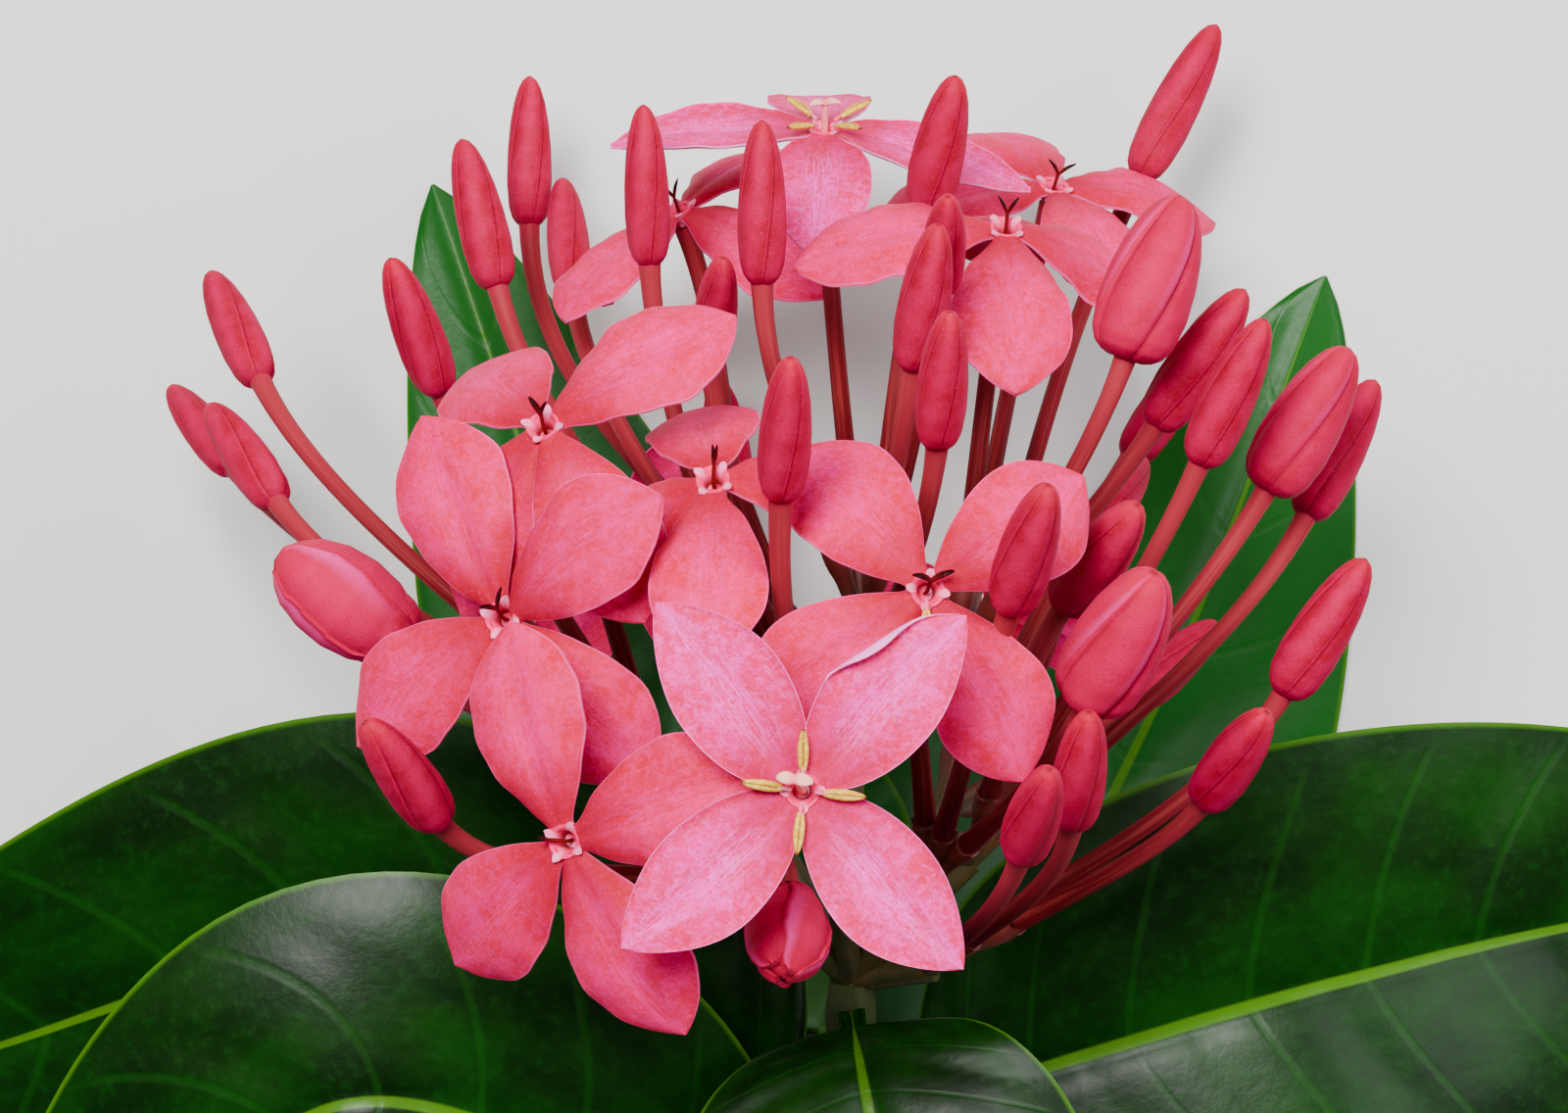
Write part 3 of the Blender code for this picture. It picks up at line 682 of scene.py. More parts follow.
def add_opening_petal(piece, frame, bud, number, flare, seed):
    """Add one petal of a bud that is opening: wound round the bud, with its tip turned out."""
    base, facing, side, up = frame
    middle = 2 * math.pi * number / PETALS + OPENING_TURN
    girth = bud.width * OPENING_GIRTH
    across = even_shares(PETAL_COLUMNS)
    shares = even_shares(PETAL_ROWS)
    grid = []
    for share in shares:
        turned = flare * max(0.0, (share - OPENING_START) / (1 - OPENING_START)) ** OPENING_EASE
        radius = girth * (profile_at(OPENING_PROFILE, share) + OPENING_FLARE * turned)
        reach = bud.length * (share - OPENING_DROP * turned)
        half = girth * OPENING_WIDTH * profile_at(OPENING_OUTLINE, share)
        grid.append([])
        for place in across:
            sweep = 2 * place - 1
            out = swung(side, up, middle + sweep * half / radius + BUD_TWIST * share)
            wound = radius + OPENING_OVERLAP * sweep * (1 - share / 2)
            crumple = OPENING_CRUMPLE * turned * ripple(sweep / 2, seed + OPENING_SEED_STEP * number)
            spot = base + facing * (reach + crumple) + out * wound
            grid[-1].append((spot + out * PETAL_EDGE, spot - out * PETAL_EDGE))
    add_blade(piece, "bud", grid, across, shares, tone=OPENING_TONE, seed=seed)


def make_bud(name, bud):
    """Make one bud on its tube. One that is opening has loose petals round a smaller core."""
    piece = Piece(name + "_detail")
    seed = random.Random(name).random()
    facing = plan_direction(bud.bearing, bud.lean)
    _, path = floret_path(bud, facing)
    end, _, side, _ = add_tube(piece, path, seed)
    flares = OPENING_BUDS.get(name, ())
    size = OPENING_CORE if flares else 1.0
    plumpness = max(0.0, min(1.0, (bud.width / bud.length - BUD_SLIM_SHARE) / BUD_PLUMP_RANGE))
    shares = [(1 - math.cos(math.pi * share)) / 2 for share in even_shares(BUD_RINGS)]
    rings = []
    for share in shares:
        place = end + facing * (bud.length * BUD_REACH * share + BUD_SEAT)
        radius = size * profile_at(BUD_PROFILE, share) * bud.width / 2
        rings.append(bud_ring(facing_frame(place, facing, side), radius, share, plumpness))
    across = [(PETALS * number / BUD_SIDES) % 1.0 for number in range(BUD_SIDES)]
    frame = facing_frame(end + facing * BUD_SEAT, facing, side)
    for number, flare in enumerate(flares):
        add_opening_petal(piece, frame, bud, number, flare, seed)
    tone = 0.0 if flares else plumpness
    add_loft(piece, "bud", rings, shares, across, tone=tone, seed=seed)
    piece.finish(name, "bud")


def petal_half(share, age, widest):
    """Return a petal's half-width at a share of its length, with its narrow claw at the root."""
    bent = share ** (math.log(0.5) / math.log(age.widest_share))
    blade = math.sin(math.pi * bent) ** PETAL_ROUNDNESS
    if share < age.widest_share:
        blade = blade ** PETAL_SHOULDER
    # A cubic mean joins the claw to the blade without a corner
    claw = PETAL_CLAW * max(0.0, 1 - share / PETAL_CLAW_SHARE)
    return max(((blade * widest) ** 3 + claw ** 3) ** (1 / 3), PETAL_TIP_HALF)


def petal_rise(sweep, share, half, age, seed):
    """Return how far a petal's surface stands above its flat shape."""
    size = abs(sweep)
    inner = math.sin(math.pi * min(1.0, share * PETAL_RELIEF_PACE)) ** 0.5
    side_seed = seed + SIDE_SEED_STEP * math.copysign(1, sweep)
    wave = age.wave * size ** PETAL_WAVE_POWER * ripple(share, side_seed)
    rim = age.rim * max(0.0, size - PETAL_RIM_START) / (1 - PETAL_RIM_START)
    quilt = age.quilt * half * math.sin(math.pi * size)
    crease = PETAL_CREASE * bell(sweep, PETAL_CREASE_WIDTH)
    return age.trough * half * size ** PETAL_TROUGH_CURVE + (quilt + wave + rim - crease) * inner


def folded_edge(reach, rise, half, share, fold):
    """Turn the outer part of a petal's margin up and back over itself, and return how far it has turned."""
    length = min(1.0, max(0.0, (share - FOLD_START) / (1 - FOLD_START)))
    strength = fold * math.sin(math.pi * length) ** FOLD_ROUNDNESS
    start = half * (1 - FOLD_SHARE * strength)
    over = abs(reach) - start
    if over <= 0:
        return reach, rise, 0.0
    turn = min(over / FOLD_RADIUS, FOLD_TURN)
    rest = max(0.0, over - FOLD_RADIUS * FOLD_TURN)
    flat = start + FOLD_RADIUS * math.sin(turn) + rest * math.cos(turn)
    high = FOLD_RADIUS * (1 - math.cos(turn)) + rest * math.sin(turn)
    return math.copysign(flat, reach), rise + high, math.copysign(turn, reach)


def add_petal(piece, flower, number, draw):
    """Add one petal from the throat to its tip."""
    across, along, normal = flower_axes(flower)
    out = swung(across, along, math.radians(flower.angles[number]))
    side = normal.cross(out)
    lift = math.radians(flower.lifts[number])
    age = flower.age
    widest = flower.length * age.width_share / 2
    seed = draw.random()
    twist = draw.uniform(-PETAL_TWIST, PETAL_TWIST)
    sway = draw.uniform(-PETAL_SWAY, PETAL_SWAY) * flower.length
    fold = PETAL_FOLDS.get((piece.name, number), 0.0)
    sweeps = [math.sin(math.pi * (share - 0.5)) for share in even_shares(PETAL_COLUMNS)]
    shares = [math.sin(math.pi / 2 * share) ** PETAL_ROW_EASE for share in even_shares(PETAL_ROWS)]
    grid = []
    for share in shares:
        bend = lift - age.curl * share
        run = flower.length * share
        spine = head_point(flower) + out * PETAL_ROOT + swung(out, normal, bend) * run
        spine += side * sway * math.sin(math.pi * share) * share
        level = swung(normal, -out, bend)
        wing = swung(side, level, twist * share)
        face = swung(level, -side, twist * share)
        half = petal_half(share, age, widest)
        grid.append([])
        for sweep in sweeps:
            reach = half * sweep
            rise = petal_rise(sweep, share, half, age, seed)
            turned = 0.0
            if fold * sweep > 0:
                reach, rise, turned = folded_edge(reach, rise, half, share, fold)
            thickness = PETAL_EDGE + (PETAL_THICKNESS - PETAL_EDGE) * (1 - sweep ** PETAL_EDGE_POWER)
            middle = spine + wing * reach + face * rise
            outward = swung(face, -wing, turned) * thickness / 2
            grid[-1].append((middle + outward, middle - outward))
    freshness = 1.0 if age.anthers else 0.0
    add_blade(piece, "petal", grid, sweeps, shares, tone=freshness, seed=seed)


def add_throat(piece, flower, seed):
    """Add the mouth of the tube: a funnel with a small notched scale between each two petals."""
    across, along, normal = flower_axes(flower)
    middle = math.radians(flower.angles[0]) + math.pi / PETALS
    angles = ring_angles(THROAT_SIDES)
    corners = [max(0.0, math.cos(PETALS * (angle - middle))) ** 2 for angle in angles]
    rings = []
    for height, share, lobes, _ in THROAT_SHAPES:
        points = []
        for angle, corner in zip(angles, corners):
            notch = THROAT_NOTCH * ripple(2 * angle / math.pi, seed, THROAT_NOTCHES) * corner
            reach = THROAT_RADIUS * share * (1 + lobes * (corner + notch))
            lift = lobes * (THROAT_SCALE_LIFT + THROAT_NOTCH_LIFT * notch) * corner
            points.append(head_point(flower) + swung(across, along, angle) * reach + normal * (height + lift))
        rings.append(points)
    shades = [shape[3] for shape in THROAT_SHAPES]
    add_loft(piece, "throat", rings, shades, corners, seed=seed)


def add_anther(piece, start, out, normal, seed, curl):
    """Add one anther: a pale two-lobed spindle with a dark groove and a curled tip."""
    side = normal.cross(out) * ANTHER_BROAD
    top = normal * ANTHER_FLAT
    angles = ring_angles(ANTHER_SIDES)
    shares = even_shares(ANTHER_STEPS)
    rings = []
    for share in shares:
        rise = curl * ANTHER_CURL_REACH * max(0.0, share - ANTHER_CURL_START) ** 2
        rise -= ANTHER_DROOP * (share - ANTHER_BALANCE) ** 2
        place = start + out * ANTHER_LENGTH * share + normal * rise
        radius = ANTHER_RADIUS * spindle(share, ANTHER_SPINDLE)
        points = []
        for angle in angles:
            reach = radius * (1 - ANTHER_GROOVE * bell(angle - math.pi / 2, ANTHER_GROOVE_WIDTH))
            points.append(place + swung(side, top, angle) * reach)
        rings.append(points)
    across = [bell(angle - math.pi / 2, ANTHER_DARK_WIDTH) for angle in angles]
    add_loft(piece, "anther", rings, shares, across, seed=seed)


def add_stamen(piece, flower, bearing, seed, curl):
    """Add one filament with its anther."""
    across, along, normal = flower_axes(flower)
    centre = head_point(flower)
    out = swung(swung(across, along, math.radians(bearing)), normal, ANTHER_LIFT)
    start = centre + normal * ANTHER_HEIGHT + out * ANTHER_START
    root = centre + normal * FILAMENT_HEIGHT + out * FILAMENT_START
    end = start + out * FILAMENT_OVERLAP
    route = [root, root.lerp(end, 0.5), end]
    add_rod(piece, "throat", route, FILAMENT_RADIUS, FILAMENT_SIDES, FILAMENT_SHADE)
    add_anther(piece, start, out, normal, seed, curl)


def add_stigma_arm(piece, style, start, out, normal, length, spread):
    """Add one arm of a forked stigma, curving outwards from the style."""
    width, thickness = style.arm_widths
    across = normal.cross(out) * width
    shares = even_shares(STIGMA_STEPS)
    rings = []
    for share in shares:
        lean = spread * (STIGMA_LEAN + STIGMA_BEND * share)
        place = start + swung(normal, out, lean) * length * share
        face = swung(-out, normal, lean) * thickness
        swell = spindle(share, STIGMA_SPINDLE)
        rings.append([place + swung(across, face, angle) * swell for angle in ring_angles(STIGMA_SIDES)])
    add_loft(piece, style.material, rings, shares)


def add_style(piece, flower, draw):
    """Add the style with its stigma: pale blunt lobes when fresh, dark thin arms when old."""
    across, along, normal = flower_axes(flower)
    centre = head_point(flower)
    style = flower.age.style
    shift_across, shift_along, turn, spread, length = STYLES.get(piece.name, STYLES["plain"])
    lean = (normal + across * shift_across + along * shift_along).normalized()
    fork = centre + lean * style.reach
    route = smooth_route([centre - normal * STYLE_ROOT, centre - normal * STYLE_MOUTH, fork], STYLE_RINGS)
    add_rod(piece, style.material, route, style.radius, STYLE_SIDES, 0.0)
    arm = swung(across, along, math.radians(turn + draw.uniform(-STYLE_TURN, STYLE_TURN)))
    for out in (-arm, arm):
        add_stigma_arm(piece, style, fork, out, lean, length, math.radians(spread))


def make_flower(name, flower):
    """Make one open flower with its tube."""
    piece = Piece(name + "_detail")
    draw = random.Random(name)
    seed = draw.random()
    _, _, normal = flower_axes(flower)
    _, path = floret_path(flower, normal)
    add_tube(piece, path[:-THROAT_POINTS], seed)
    add_throat(piece, flower, seed)
    for number in range(PETALS):
        add_petal(piece, flower, number, draw)
    add_style(piece, flower, draw)
    bearings = STRAY_ANTHERS.get(name, ())
    if flower.age.anthers:
        bearings = [angle + ANTHER_TURN for angle in flower.angles]
    for bearing in bearings:
        add_stamen(piece, flower, bearing, draw.random(), draw.choice(ANTHER_CURLS))
    piece.finish(name, "flower")


def leaf_width(share):
    """Return the half-width of a leaf blade as a share of its widest, along the blade."""
    return math.sin(math.pi * share ** LEAF_WIDEST_POWER) ** LEAF_ROUNDNESS


def leaf_relief(sweep, share, half):
    """Return how deep the surface of a leaf lies at its side veins and in its midrib's groove."""
    size = abs(sweep)
    place = (LEAF_VEINS * (share - LEAF_VEIN_SLANT * size ** LEAF_VEIN_CURVE)) % 1.0
    vein = LEAF_VEIN_RELIEF * bell(min(place, 1 - place), LEAF_VEIN_WIDTH)
    groove = LEAF_GROOVE * bell(sweep * half, LEAF_GROOVE_WIDTH)
    return (vein + groove) * min(1.0, half / LEAF_RELIEF_FULL) * (1 - size ** LEAF_RELIEF_POWER)


def make_leaf(name, leaf):
    """Make one leathery leaf with its stalk."""
    piece = Piece(name + "_detail")
    seed = random.Random(name).random()
    frames = frames_along(smooth_route(leaf.route, LEAF_ROWS))
    roll = math.radians(leaf.roll)
    sweeps = [2 * share - 1 for share in even_shares(LEAF_COLUMNS)]
    blade_shares = []
    grid = []
    for share, (point, tangent, _, _) in zip(even_shares(LEAF_ROWS), frames):
        level = tangent.cross(UP).normalized()
        raised = level.cross(tangent).normalized()
        side = swung(level, raised, roll)
        face = swung(raised, -level, roll)
        blade_share = max(0.0, (share - PETIOLE_SHARE) / (1 - PETIOLE_SHARE))
        half = leaf_width(blade_share) * leaf.half_width
        half = max(half, PETIOLE_HALF_WIDTH * (1 - share) + LEAF_TIP_HALF)
        grid.append([])
        for sweep in sweeps:
            wave = LEAF_WAVE * math.sin(2 * math.pi * LEAF_WAVES * share + sweep) * half / leaf.half_width
            rise = LEAF_FOLD * half * (abs(sweep) - sweep * sweep / 2) + wave * sweep * sweep
            rise -= leaf_relief(sweep, share, half)
            rib = bell(sweep * half, LEAF_RIB_WIDTH) * (1 - LEAF_RIB_TAPER * share)
            thickness = LEAF_THICKNESS * (1 - LEAF_EDGE_THINNING * sweep ** LEAF_EDGE_POWER)
            spot = point + side * half * sweep + face * rise
            spot.z = max(spot.z, face.z * (thickness / 2 + rib))
            grid[-1].append((spot + face * thickness / 2, spot - face * (thickness / 2 + rib)))
        blade_shares.append(blade_share)
    lightness = LEAF_LIGHTNESS.get(name, 0.0)
    add_blade(piece, "leaf", grid, sweeps, blade_shares, tone=lightness, seed=seed)
    piece.finish(name, "leaf")


def add_pedicel(piece, floret, facing, seed):
    """Add a floret's short stalk with the toothed cup that its tube stands in."""
    path, _ = floret_path(floret, facing)
    frames = frames_along(picked(path, PEDICEL_STEPS))
    shares = even_shares(PEDICEL_STEPS)
    rings = []
    for share, frame in zip(shares, frames):
        rings.append(round_ring(frame, profile_at(PEDICEL_PROFILE, share), PEDICEL_SIDES))
    point, tangent, side, up = frames[-1]
    step = tangent * CUP_DEPTH
    teeth = []
    for angle in ring_angles(PEDICEL_SIDES):
        tooth = CALYX_TOOTH_HEIGHT * max(0.0, math.cos(CALYX_TEETH * angle))
        reach = CALYX_RADIUS + CALYX_FLARE * tooth
        teeth.append(point + swung(side, up, angle) * reach + tangent * (CALYX_RIM + tooth))
    rings.append(teeth)
    rings.append([spot.lerp(point + step, CALYX_WALL) for spot in teeth])
    rings.append(round_ring((point - step, tangent, side, up), CUP_FLOOR_RADIUS, PEDICEL_SIDES))
    add_loft(piece, "stalk", rings, shares + [1.0] * 3, seed=seed)


def add_branch(piece, start, end):
    """Add one fork of the flower head, sunk a little into the ones before and after it."""
    sink = (end - start).normalized() * BRANCH_SINK
    route = smooth_route((start - sink, start.lerp(end, 0.5), end + sink), BRANCH_RINGS)
    add_rod(piece, "stalk", route, BRANCH_RADIUS, BRANCH_SIDES, 0.0, seed=BRANCH_SEED)


def make_stem():
    """Make the stem, the forks of the head and the short stalks, in one piece."""
    piece = Piece("stem_detail")
    shares = even_shares(STEM_RINGS)
    rings = []
    for share, frame in zip(shares, frames_along(smooth_route(STEM_ROUTE, STEM_RINGS))):
        radius = STEM_RADIUS_TOP + (STEM_RADIUS_END - STEM_RADIUS_TOP) * share
        for knee in STEM_KNEES:
            radius += STEM_KNEE_SWELL * bell(share - knee, STEM_KNEE_WIDTH)
        points = round_ring(frame, radius, STEM_SIDES)
        for point in points:
            point.z = max(point.z, 0.0)
        rings.append(points)
    add_loft(piece, "stem", rings, shares)
    for hub in HUBS.values():
        if hub.parent:
            add_branch(piece, head_point(HUBS[hub.parent]), head_point(hub))
    for name, flower in FLOWERS.items():
        add_pedicel(piece, flower, flower_axes(flower)[2], random.Random(name).random())
    for name, bud in BUDS.items():
        add_pedicel(piece, bud, plan_direction(bud.bearing, bud.lean), random.Random(name).random())
    piece.finish("stem", "stem")


class Shader:
    """A short way to write one procedural material's nodes, with a colour that is tinted step by step."""

    def __init__(self, name):
        self.material = bpy.data.materials.new(name)
        self.material.use_nodes = True
        self.tree = self.material.node_tree
        self.surface = self.tree.nodes["Principled BSDF"]
        self.colour = None

    def put(self, socket, source):
        """Set a socket from an output, a number or a screen colour."""
        if isinstance(source, bpy.types.NodeSocket):
            self.tree.links.new(source, socket)
        elif isinstance(source, tuple):
            socket.default_value = (*rgb(*source), 1.0)
        else:
            socket.default_value = source

    def node(self, kind, sources, **settings):
        """Add a node with its own settings and the sources of its inputs, and return its outputs."""
        made = self.tree.nodes.new("ShaderNode" + kind)
        for name, setting in settings.items():
            setattr(made, name, setting)
        for key, source in sources.items():
            self.put(made.inputs[key], source)
        return made.outputs

    def value(self, name):
        """Return a mesh value as a shader output."""
        return self.node("Attribute", {}, attribute_name=name)["Fac"]

    def math(self, operation, *sources):
        """Return the result of one calculation."""
        return self.node("Math", dict(enumerate(sources)), operation=operation)[0]

    def product(self, *sources):
        """Return the product of some values."""
        result = sources[0]
        for source in sources[1:]:
            result = self.math("MULTIPLY", result, source)
        return result

    def line(self, source, slope, start):
        """Return a value that rises from start by slope times the source."""
        return self.math("MULTIPLY_ADD", source, slope, start)

    def edge(self, source):
        """Return how far a value between 0 and 1 is from the nearer of the two."""
        return self.math("MINIMUM", source, self.math("SUBTRACT", 1.0, source))

    def noise(self, point, scale, detail=3.0, roughness=0.55, distortion=0.0):
        """Return a cloudy value between 0 and 1."""
        sources = {"Vector": point, "Scale": scale, "Detail": detail, "Roughness": roughness,
                   "Distortion": distortion}
        return self.node("TexNoise", sources)["Fac"]

    def grain(self, scale, detail=3.0, roughness=0.55, distortion=0.0):
        """Return noise that fills the object's own space, with its scale in cells to a metre."""
        return self.noise(self.node("TexCoord", {})["Object"], scale, detail, roughness, distortion)

    def clouds(self, across, along, scale, detail=3.0, roughness=0.55, distortion=0.0):
        """Return noise laid over a surface by two values, different for each seed."""
        seed = self.product(self.value("seed"), SEED_SPREAD)
        point = self.node("CombineXYZ", {"X": across, "Y": along, "Z": seed})[0]
        return self.noise(point, scale, detail, roughness, distortion)

    def band(self, source, low, high):
        """Return 0 below low and 1 above high, eased between them. It falls where low is above high."""
        ends = (0.0, 1.0) if low < high else (1.0, 0.0)
        sources = {"Value": source, "From Min": min(low, high), "From Max": max(low, high),
                   "To Min": ends[0], "To Max": ends[1]}
        return self.node("MapRange", sources, interpolation_type="SMOOTHSTEP")["Result"]

    def blend(self, amount, first, second):
        """Return two colours blended by an amount."""
        return self.node("Mix", {"Factor": amount, 6: first, 7: second}, data_type="RGBA")[2]

    def start(self, amount, first, second):
        """Begin the surface's colour as two colours blended by an amount."""
        self.colour = self.blend(amount, first, second)

    def tint(self, target, *amounts):
        """Blend the surface's colour towards a target by the product of the amounts."""
        self.colour = self.blend(self.product(*amounts), self.colour, target)

    def bump(self, height, strength, distance):
        """Dent the surface by a height."""
        sources = {"Height": height, "Strength": strength, "Distance": distance}
        self.set("Normal", self.node("Bump", sources)["Normal"])

    def set(self, name, source):
        """Set one of the surface's own inputs."""
        self.put(self.surface.inputs[name], source)

    def finish(self, roughness):
        """Give the surface its colour and roughness, and return the material."""
        self.set("Base Color", self.colour)
        self.set("Roughness", roughness)
        return self.material


def rgb(red, green, blue):
    """Turn a screen colour from 0 to 255 into the linear one that a shader reads."""
    shares = [level / 255 for level in (red, green, blue)]
    return tuple(share / 12.92 if share <= 0.04045 else ((share + 0.055) / 1.055) ** 2.4 for share in shares)


def velvet(look, roughness):
    """Finish a matte plant surface with a faint rosy sheen."""
    look.set("Sheen Weight", 0.08)
    look.set("Sheen Roughness", 0.4)
    look.set("Sheen Tint", (255, 10, 130))
    look.set("Specular IOR Level", 0.04)
    return look.finish(roughness)


def petal_material():
    """Petals: coral when old, lavender pink when fresh, with painted shade at the sides and root, pale
    streaks, fine veins and a pale margin.
    """
    look = Shader("petal")
    across = look.value("across")
    along = look.value("along")
    fresh = look.value("tone")
    size = look.math("ABSOLUTE", across)
    # Streaks and veins draw in towards the midrib as they run to the tip
    fan = look.product(across, look.line(along, 4.0, 5.0))
    clouds = look.clouds(across, look.product(along, 2.0), 2.2, 4.0, 0.6)
    streaks = look.clouds(fan, look.product(along, 2.2), 4.0, 5.0, 0.65, 0.4)
    veins = look.clouds(look.product(fan, 3.0), look.product(along, 3.0), 5.0, 3.0, 0.6, 0.8)
    mottle = look.grain(1500.0, 4.0, 0.7, 0.6)
    specks = look.grain(4200.0, 3.0, 0.7)
    # Deeper at the sides and at the root as painted shade, and along the veins
    deep = look.blend(fresh, (198, 0, 44), (210, 0, 72))
    light = look.blend(fresh, (222, 0, 100), (238, 4, 140))
    look.start(look.band(clouds, 0.28, 0.76), deep, light)
    look.tint(deep, look.band(size, 0.5, 0.95), look.line(fresh, 0.3, 0.25))
    look.tint((160, 0, 30), look.band(along, 0.5, 0.05), look.line(fresh, -0.2, 0.85))
    look.tint((176, 2, 54), look.band(veins, 0.50, 0.74), 0.14)
    # Pale streaks down the middle, then a pale mottle with dark and bright specks
    pale = look.blend(fresh, (252, 40, 170), (255, 104, 222))
    look.tint(pale, look.band(size, 0.62, 0.05), look.band(streaks, 0.40, 0.64),
              look.band(along, 0.08, 0.34), look.line(fresh, 0.24, 0.26))
    pale = look.blend(fresh, (252, 30, 160), (255, 84, 206))
    look.tint(pale, look.band(mottle, 0.44, 0.62), look.line(fresh, 0.16, 0.20),
              look.line(look.band(along, 0.1, 0.5), 0.8, 0.2))
    look.tint((166, 2, 62), look.band(specks, 0.48, 0.34), look.line(fresh, 0.15, 0.35))
    look.tint((252, 30, 150), look.band(specks, 0.54, 0.74), 0.26)
    # The margin, and the back of a fresh petal
    look.tint((255, 110, 200), look.band(size, 0.965, 0.998), look.line(fresh, 0.3, 0.3))
    look.tint((255, 150, 228), look.value("under"), fresh, 0.85)
    relief = look.math("ADD", look.product(veins, 0.6), look.product(specks, 0.4))
    look.bump(relief, 0.22, FINE_RELIEF)
    return velvet(look, 0.46)


def bud_material():
    """Buds: velvety rose, dark along the seams, paler on the backs of the wound petals."""
    look = Shader("bud")
    across = look.value("across")
    along = look.value("along")
    plump = look.value("tone")
    seam = look.edge(across)
    clouds = look.clouds(across, look.product(along, 3.0), 2.5)
    specks = look.grain(5200.0, 3.0, 0.7)
    look.start(look.band(clouds, 0.3, 0.7), (146, 0, 34), (164, 0, 56))
    look.tint((200, 0, 80), look.band(seam, 0.12, 0.5), 0.35)
    look.tint((96, 2, 22), look.band(seam, 0.10, 0.01), 0.55)
    look.tint((206, 0, 74), plump, 0.5)
    # A pale ridge beside each seam of a plump bud
    look.tint((246, 66, 170), look.band(across, 0.74, 0.93), look.band(across, 0.985, 0.93),
              plump, look.band(along, 0.05, 0.75), 0.5)
    # The tip, its very point and the foot
    look.tint((180, 12, 44), look.band(along, 0.80, 1.0), 0.45)
    look.tint((90, 24, 22), look.band(along, 0.99, 1.0), 0.6)
    look.tint((140, 6, 48), look.band(along, 0.10, 0.0), 0.5)
    look.tint((112, 1, 30), look.band(specks, 0.46, 0.30), 0.3)
    look.tint((216, 26, 110), look.band(specks, 0.55, 0.70), 0.28)
    look.bump(specks, 0.18, FINE_RELIEF)
    return velvet(look, 0.5)


def tube_material():
    """Tubes: brownish salmon below the bud, deep red further down, partly the tube's own colour and partly
    painted shade deep inside the head.
    """
    look = Shader("tube")
    along = look.value("along")
    streaks = look.clouds(look.product(look.value("across"), 6.0), along, 3.0)
    # Darker towards the foot: partly the tube's own deep red, partly painted shade deep inside the head
    look.start(look.band(along, 0.15, 0.95), (78, 8, 13), (144, 36, 50))
    look.tint((164, 60, 58), look.band(streaks, 0.45, 0.7), 0.35)
    look.tint((160, 20, 56), look.band(along, 0.95, 1.0), 0.6)
    look.bump(streaks, 0.15, FINE_RELIEF)
    return velvet(look, 0.42)


def throat_material():
    """The mouth of the tube: coral, whitish pink on the scales, and olive brown inside."""
    look = Shader("throat")
    along = look.value("along")
    grain = look.grain(3600.0, 2.0)
    look.start(look.band(along, 0.05, 0.45), (214, 2, 70), (240, 26, 106))
    look.tint((250, 130, 176), look.band(look.value("across"), 0.04, 0.6),
              look.band(along, 0.85, 0.5), look.line(grain, 0.6, 0.6))
    look.tint((112, 44, 18), look.band(along, 0.68, 0.95))
    look.bump(grain, 0.4, FINE_RELIEF)
    return velvet(look, 0.45)


def anther_material():
    """Anthers: cream yellow with brown grooves and tips."""
    look = Shader("anther")
    along = look.value("along")
    grain = look.grain(3200.0, 2.0)
    look.start(look.band(grain, 0.35, 0.7), (200, 146, 34), (228, 194, 84))
    look.tint((104, 54, 14), look.band(look.value("across"), 0.45, 0.95), 0.75)
    look.tint((104, 50, 26), look.math("MAXIMUM", look.band(along, 0.86, 1.0),
                                       look.band(along, 0.06, 0.0)))
    look.bump(grain, 0.4, FINE_RELIEF)
    return velvet(look, 0.55)


def stigma_material(name, stalk, tip, roughness):
    """A stigma that changes colour from its stalk to the tips of its arms."""
    look = Shader(name)
    grain = look.grain(2400.0, 2.0)
    look.start(look.band(look.value("along"), 0.0, 0.7), stalk, tip)
    look.tint(stalk, look.band(grain, 0.5, 0.7), 0.25)
    look.bump(grain, 0.2, FINE_RELIEF)
    return velvet(look, roughness)


def leaf_material():
    """Leaves: dark glossy green with a yellow-green midrib, side veins and margin."""
    look = Shader("leaf")
    across = look.value("across")
    along = look.value("along")
    size = look.math("ABSOLUTE", across)
    clouds = look.clouds(look.product(across, 1.3), look.product(along, 4.0), 1.6, 4.0, 0.6)
    grain = look.grain(900.0, 4.0, 0.6)
    look.start(look.band(clouds, 0.3, 0.72), (2, 24, 1), (9, 50, 3))
    look.tint((22, 92, 26), look.value("tone"), 0.6)
    # Side veins where the mesh has its relief, then the midrib, the margin and the back
    slant = look.product(look.math("POWER", size, LEAF_VEIN_CURVE), LEAF_VEIN_SLANT)
    phase = look.math("FRACT", look.product(look.math("SUBTRACT", along, slant), float(LEAF_VEINS)))
    vein = look.product(look.band(look.edge(phase), 0.055, 0.01), look.band(size, 0.97, 0.80))
    look.tint((24, 84, 12), vein, 0.16)
    rib = look.math("DIVIDE", size, look.line(along, -0.018, 0.034))
    look.tint((66, 112, 8), look.band(rib, 1.25, 0.65), 0.8)
    look.tint((58, 106, 4), look.band(size, 0.965, 0.995), 0.8)
    look.tint((84, 130, 66), look.value("under"), 0.55)
    look.tint((14, 76, 8), look.band(grain, 0.5, 0.7), 0.15)
    look.bump(look.math("ADD", grain, look.product(vein, -0.6)), 0.12, MIDDLE_RELIEF)
    look.set("Coat Weight", 0.02)
    look.set("Coat Roughness", 0.16)
    look.set("Specular IOR Level", 0.10)
    return look.finish(look.line(grain, 0.18, 0.24))


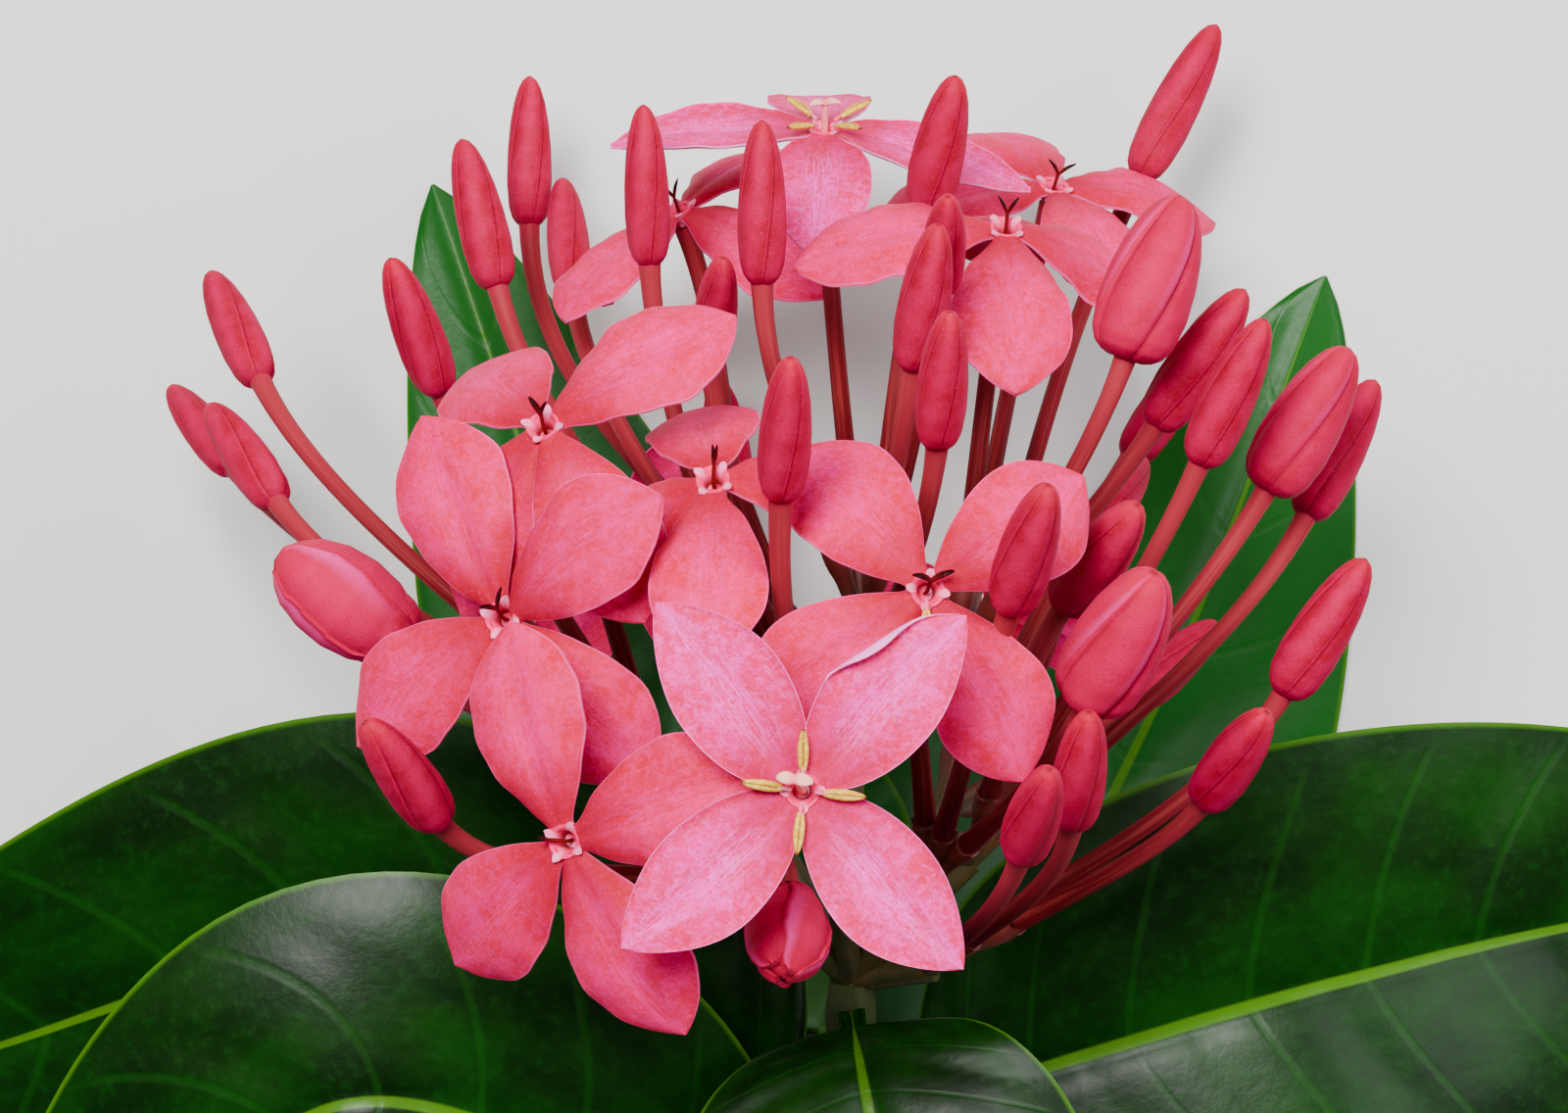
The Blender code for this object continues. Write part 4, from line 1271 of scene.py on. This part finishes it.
def stem_material():
    """The stem: green bark that turns brown and rough towards the cut end."""
    look = Shader("stem")
    along = look.value("along")
    patches = look.grain(160.0, 4.0, 0.65)
    streaks = look.clouds(look.product(look.value("across"), 14.0), look.product(along, 9.0),
                          3.0, 4.0, 0.65)
    look.start(look.band(patches, 0.35, 0.65), (34, 48, 10), (58, 72, 20))
    look.tint((92, 66, 38), look.band(along, 0.35, 0.95))
    look.tint((52, 34, 18), look.band(streaks, 0.5, 0.7), 0.5)
    look.bump(look.math("ADD", streaks, look.product(patches, 0.5)), 0.5, COARSE_RELIEF)
    return look.finish(0.68)


def stalk_material():
    """Forks and short stalks: green at the root, reddish brown at the cup."""
    look = Shader("stalk")
    patches = look.grain(420.0, 3.0, 0.6)
    look.start(look.band(patches, 0.35, 0.65), (44, 50, 12), (74, 62, 20))
    look.tint((104, 24, 20), look.band(look.value("along"), 0.05, 0.8))
    look.bump(patches, 0.25, MIDDLE_RELIEF)
    return look.finish(0.55)


def floor_material():
    """A plain pale floor."""
    look = Shader("floor")
    look.colour = (214, 214, 212)
    return look.finish(0.8)


def add_floor():
    """Lay the plain pale floor just under the sprig."""
    half = FLOOR_HALF_WIDTH * MM
    plan = ((-half, -half), (half, -half), (half, half), (-half, half))
    mesh = bpy.data.meshes.new("floor")
    mesh.from_pydata([(x, y, FLOOR_LEVEL * MM) for x, y in plan], [], [(0, 1, 2, 3)])
    mesh.materials.append(floor_material())
    new_object("floor", mesh)


def add_light(name, light):
    """Add one soft square light that looks at the middle of the flower head."""
    lamp = bpy.data.lights.new(name, "AREA")
    lamp.size = light.size
    lamp.energy = light.power
    lamp.color = light.colour
    made = new_object(name, lamp)
    target = (HEAD_BASE + LIGHT_TARGET + ORIGIN_SHIFT) * MM
    made.location = light.place
    made.rotation_euler = (target - Vector(light.place)).to_track_quat("-Z", "Y").to_euler()


def add_surroundings():
    """Light the room evenly from all sides."""
    world = bpy.data.worlds.new("room")
    world.use_nodes = True
    background = world.node_tree.nodes["Background"]
    background.inputs["Color"].default_value = (1.0, 1.0, 1.0, 1.0)
    background.inputs["Strength"].default_value = ROOM_LIGHT
    bpy.context.scene.world = world


def add_camera():
    """Look straight down on the head from the photograph's distance."""
    lens = bpy.data.cameras.new("camera")
    lens.lens = CAMERA_LENS
    lens.sensor_width = CAMERA_SENSOR
    lens.clip_start = CAMERA_CLIP
    camera = new_object("camera", lens)
    camera.location = (CAMERA_PLACE + ORIGIN_SHIFT) * MM
    bpy.context.scene.camera = camera


MATERIALS = {
    "petal": petal_material(),
    "bud": bud_material(),
    "tube": tube_material(),
    "throat": throat_material(),
    "anther": anther_material(),
    "fresh_stigma": stigma_material("fresh_stigma", (238, 120, 130), (246, 178, 156), 0.4),
    "old_stigma": stigma_material("old_stigma", (96, 16, 18), (30, 3, 6), 0.25),
    "leaf": leaf_material(),
    "stem": stem_material(),
    "stalk": stalk_material(),
}

make_stem()
for leaf_name, leaf_plan in LEAVES.items():
    make_leaf(leaf_name, leaf_plan)
for flower_name, flower_plan in FLOWERS.items():
    make_flower(flower_name, flower_plan)
for bud_name, bud_plan in BUDS.items():
    make_bud(bud_name, bud_plan)

add_floor()
for light_name, light_plan in LIGHTS.items():
    add_light(light_name, light_plan)
add_surroundings()
add_camera()
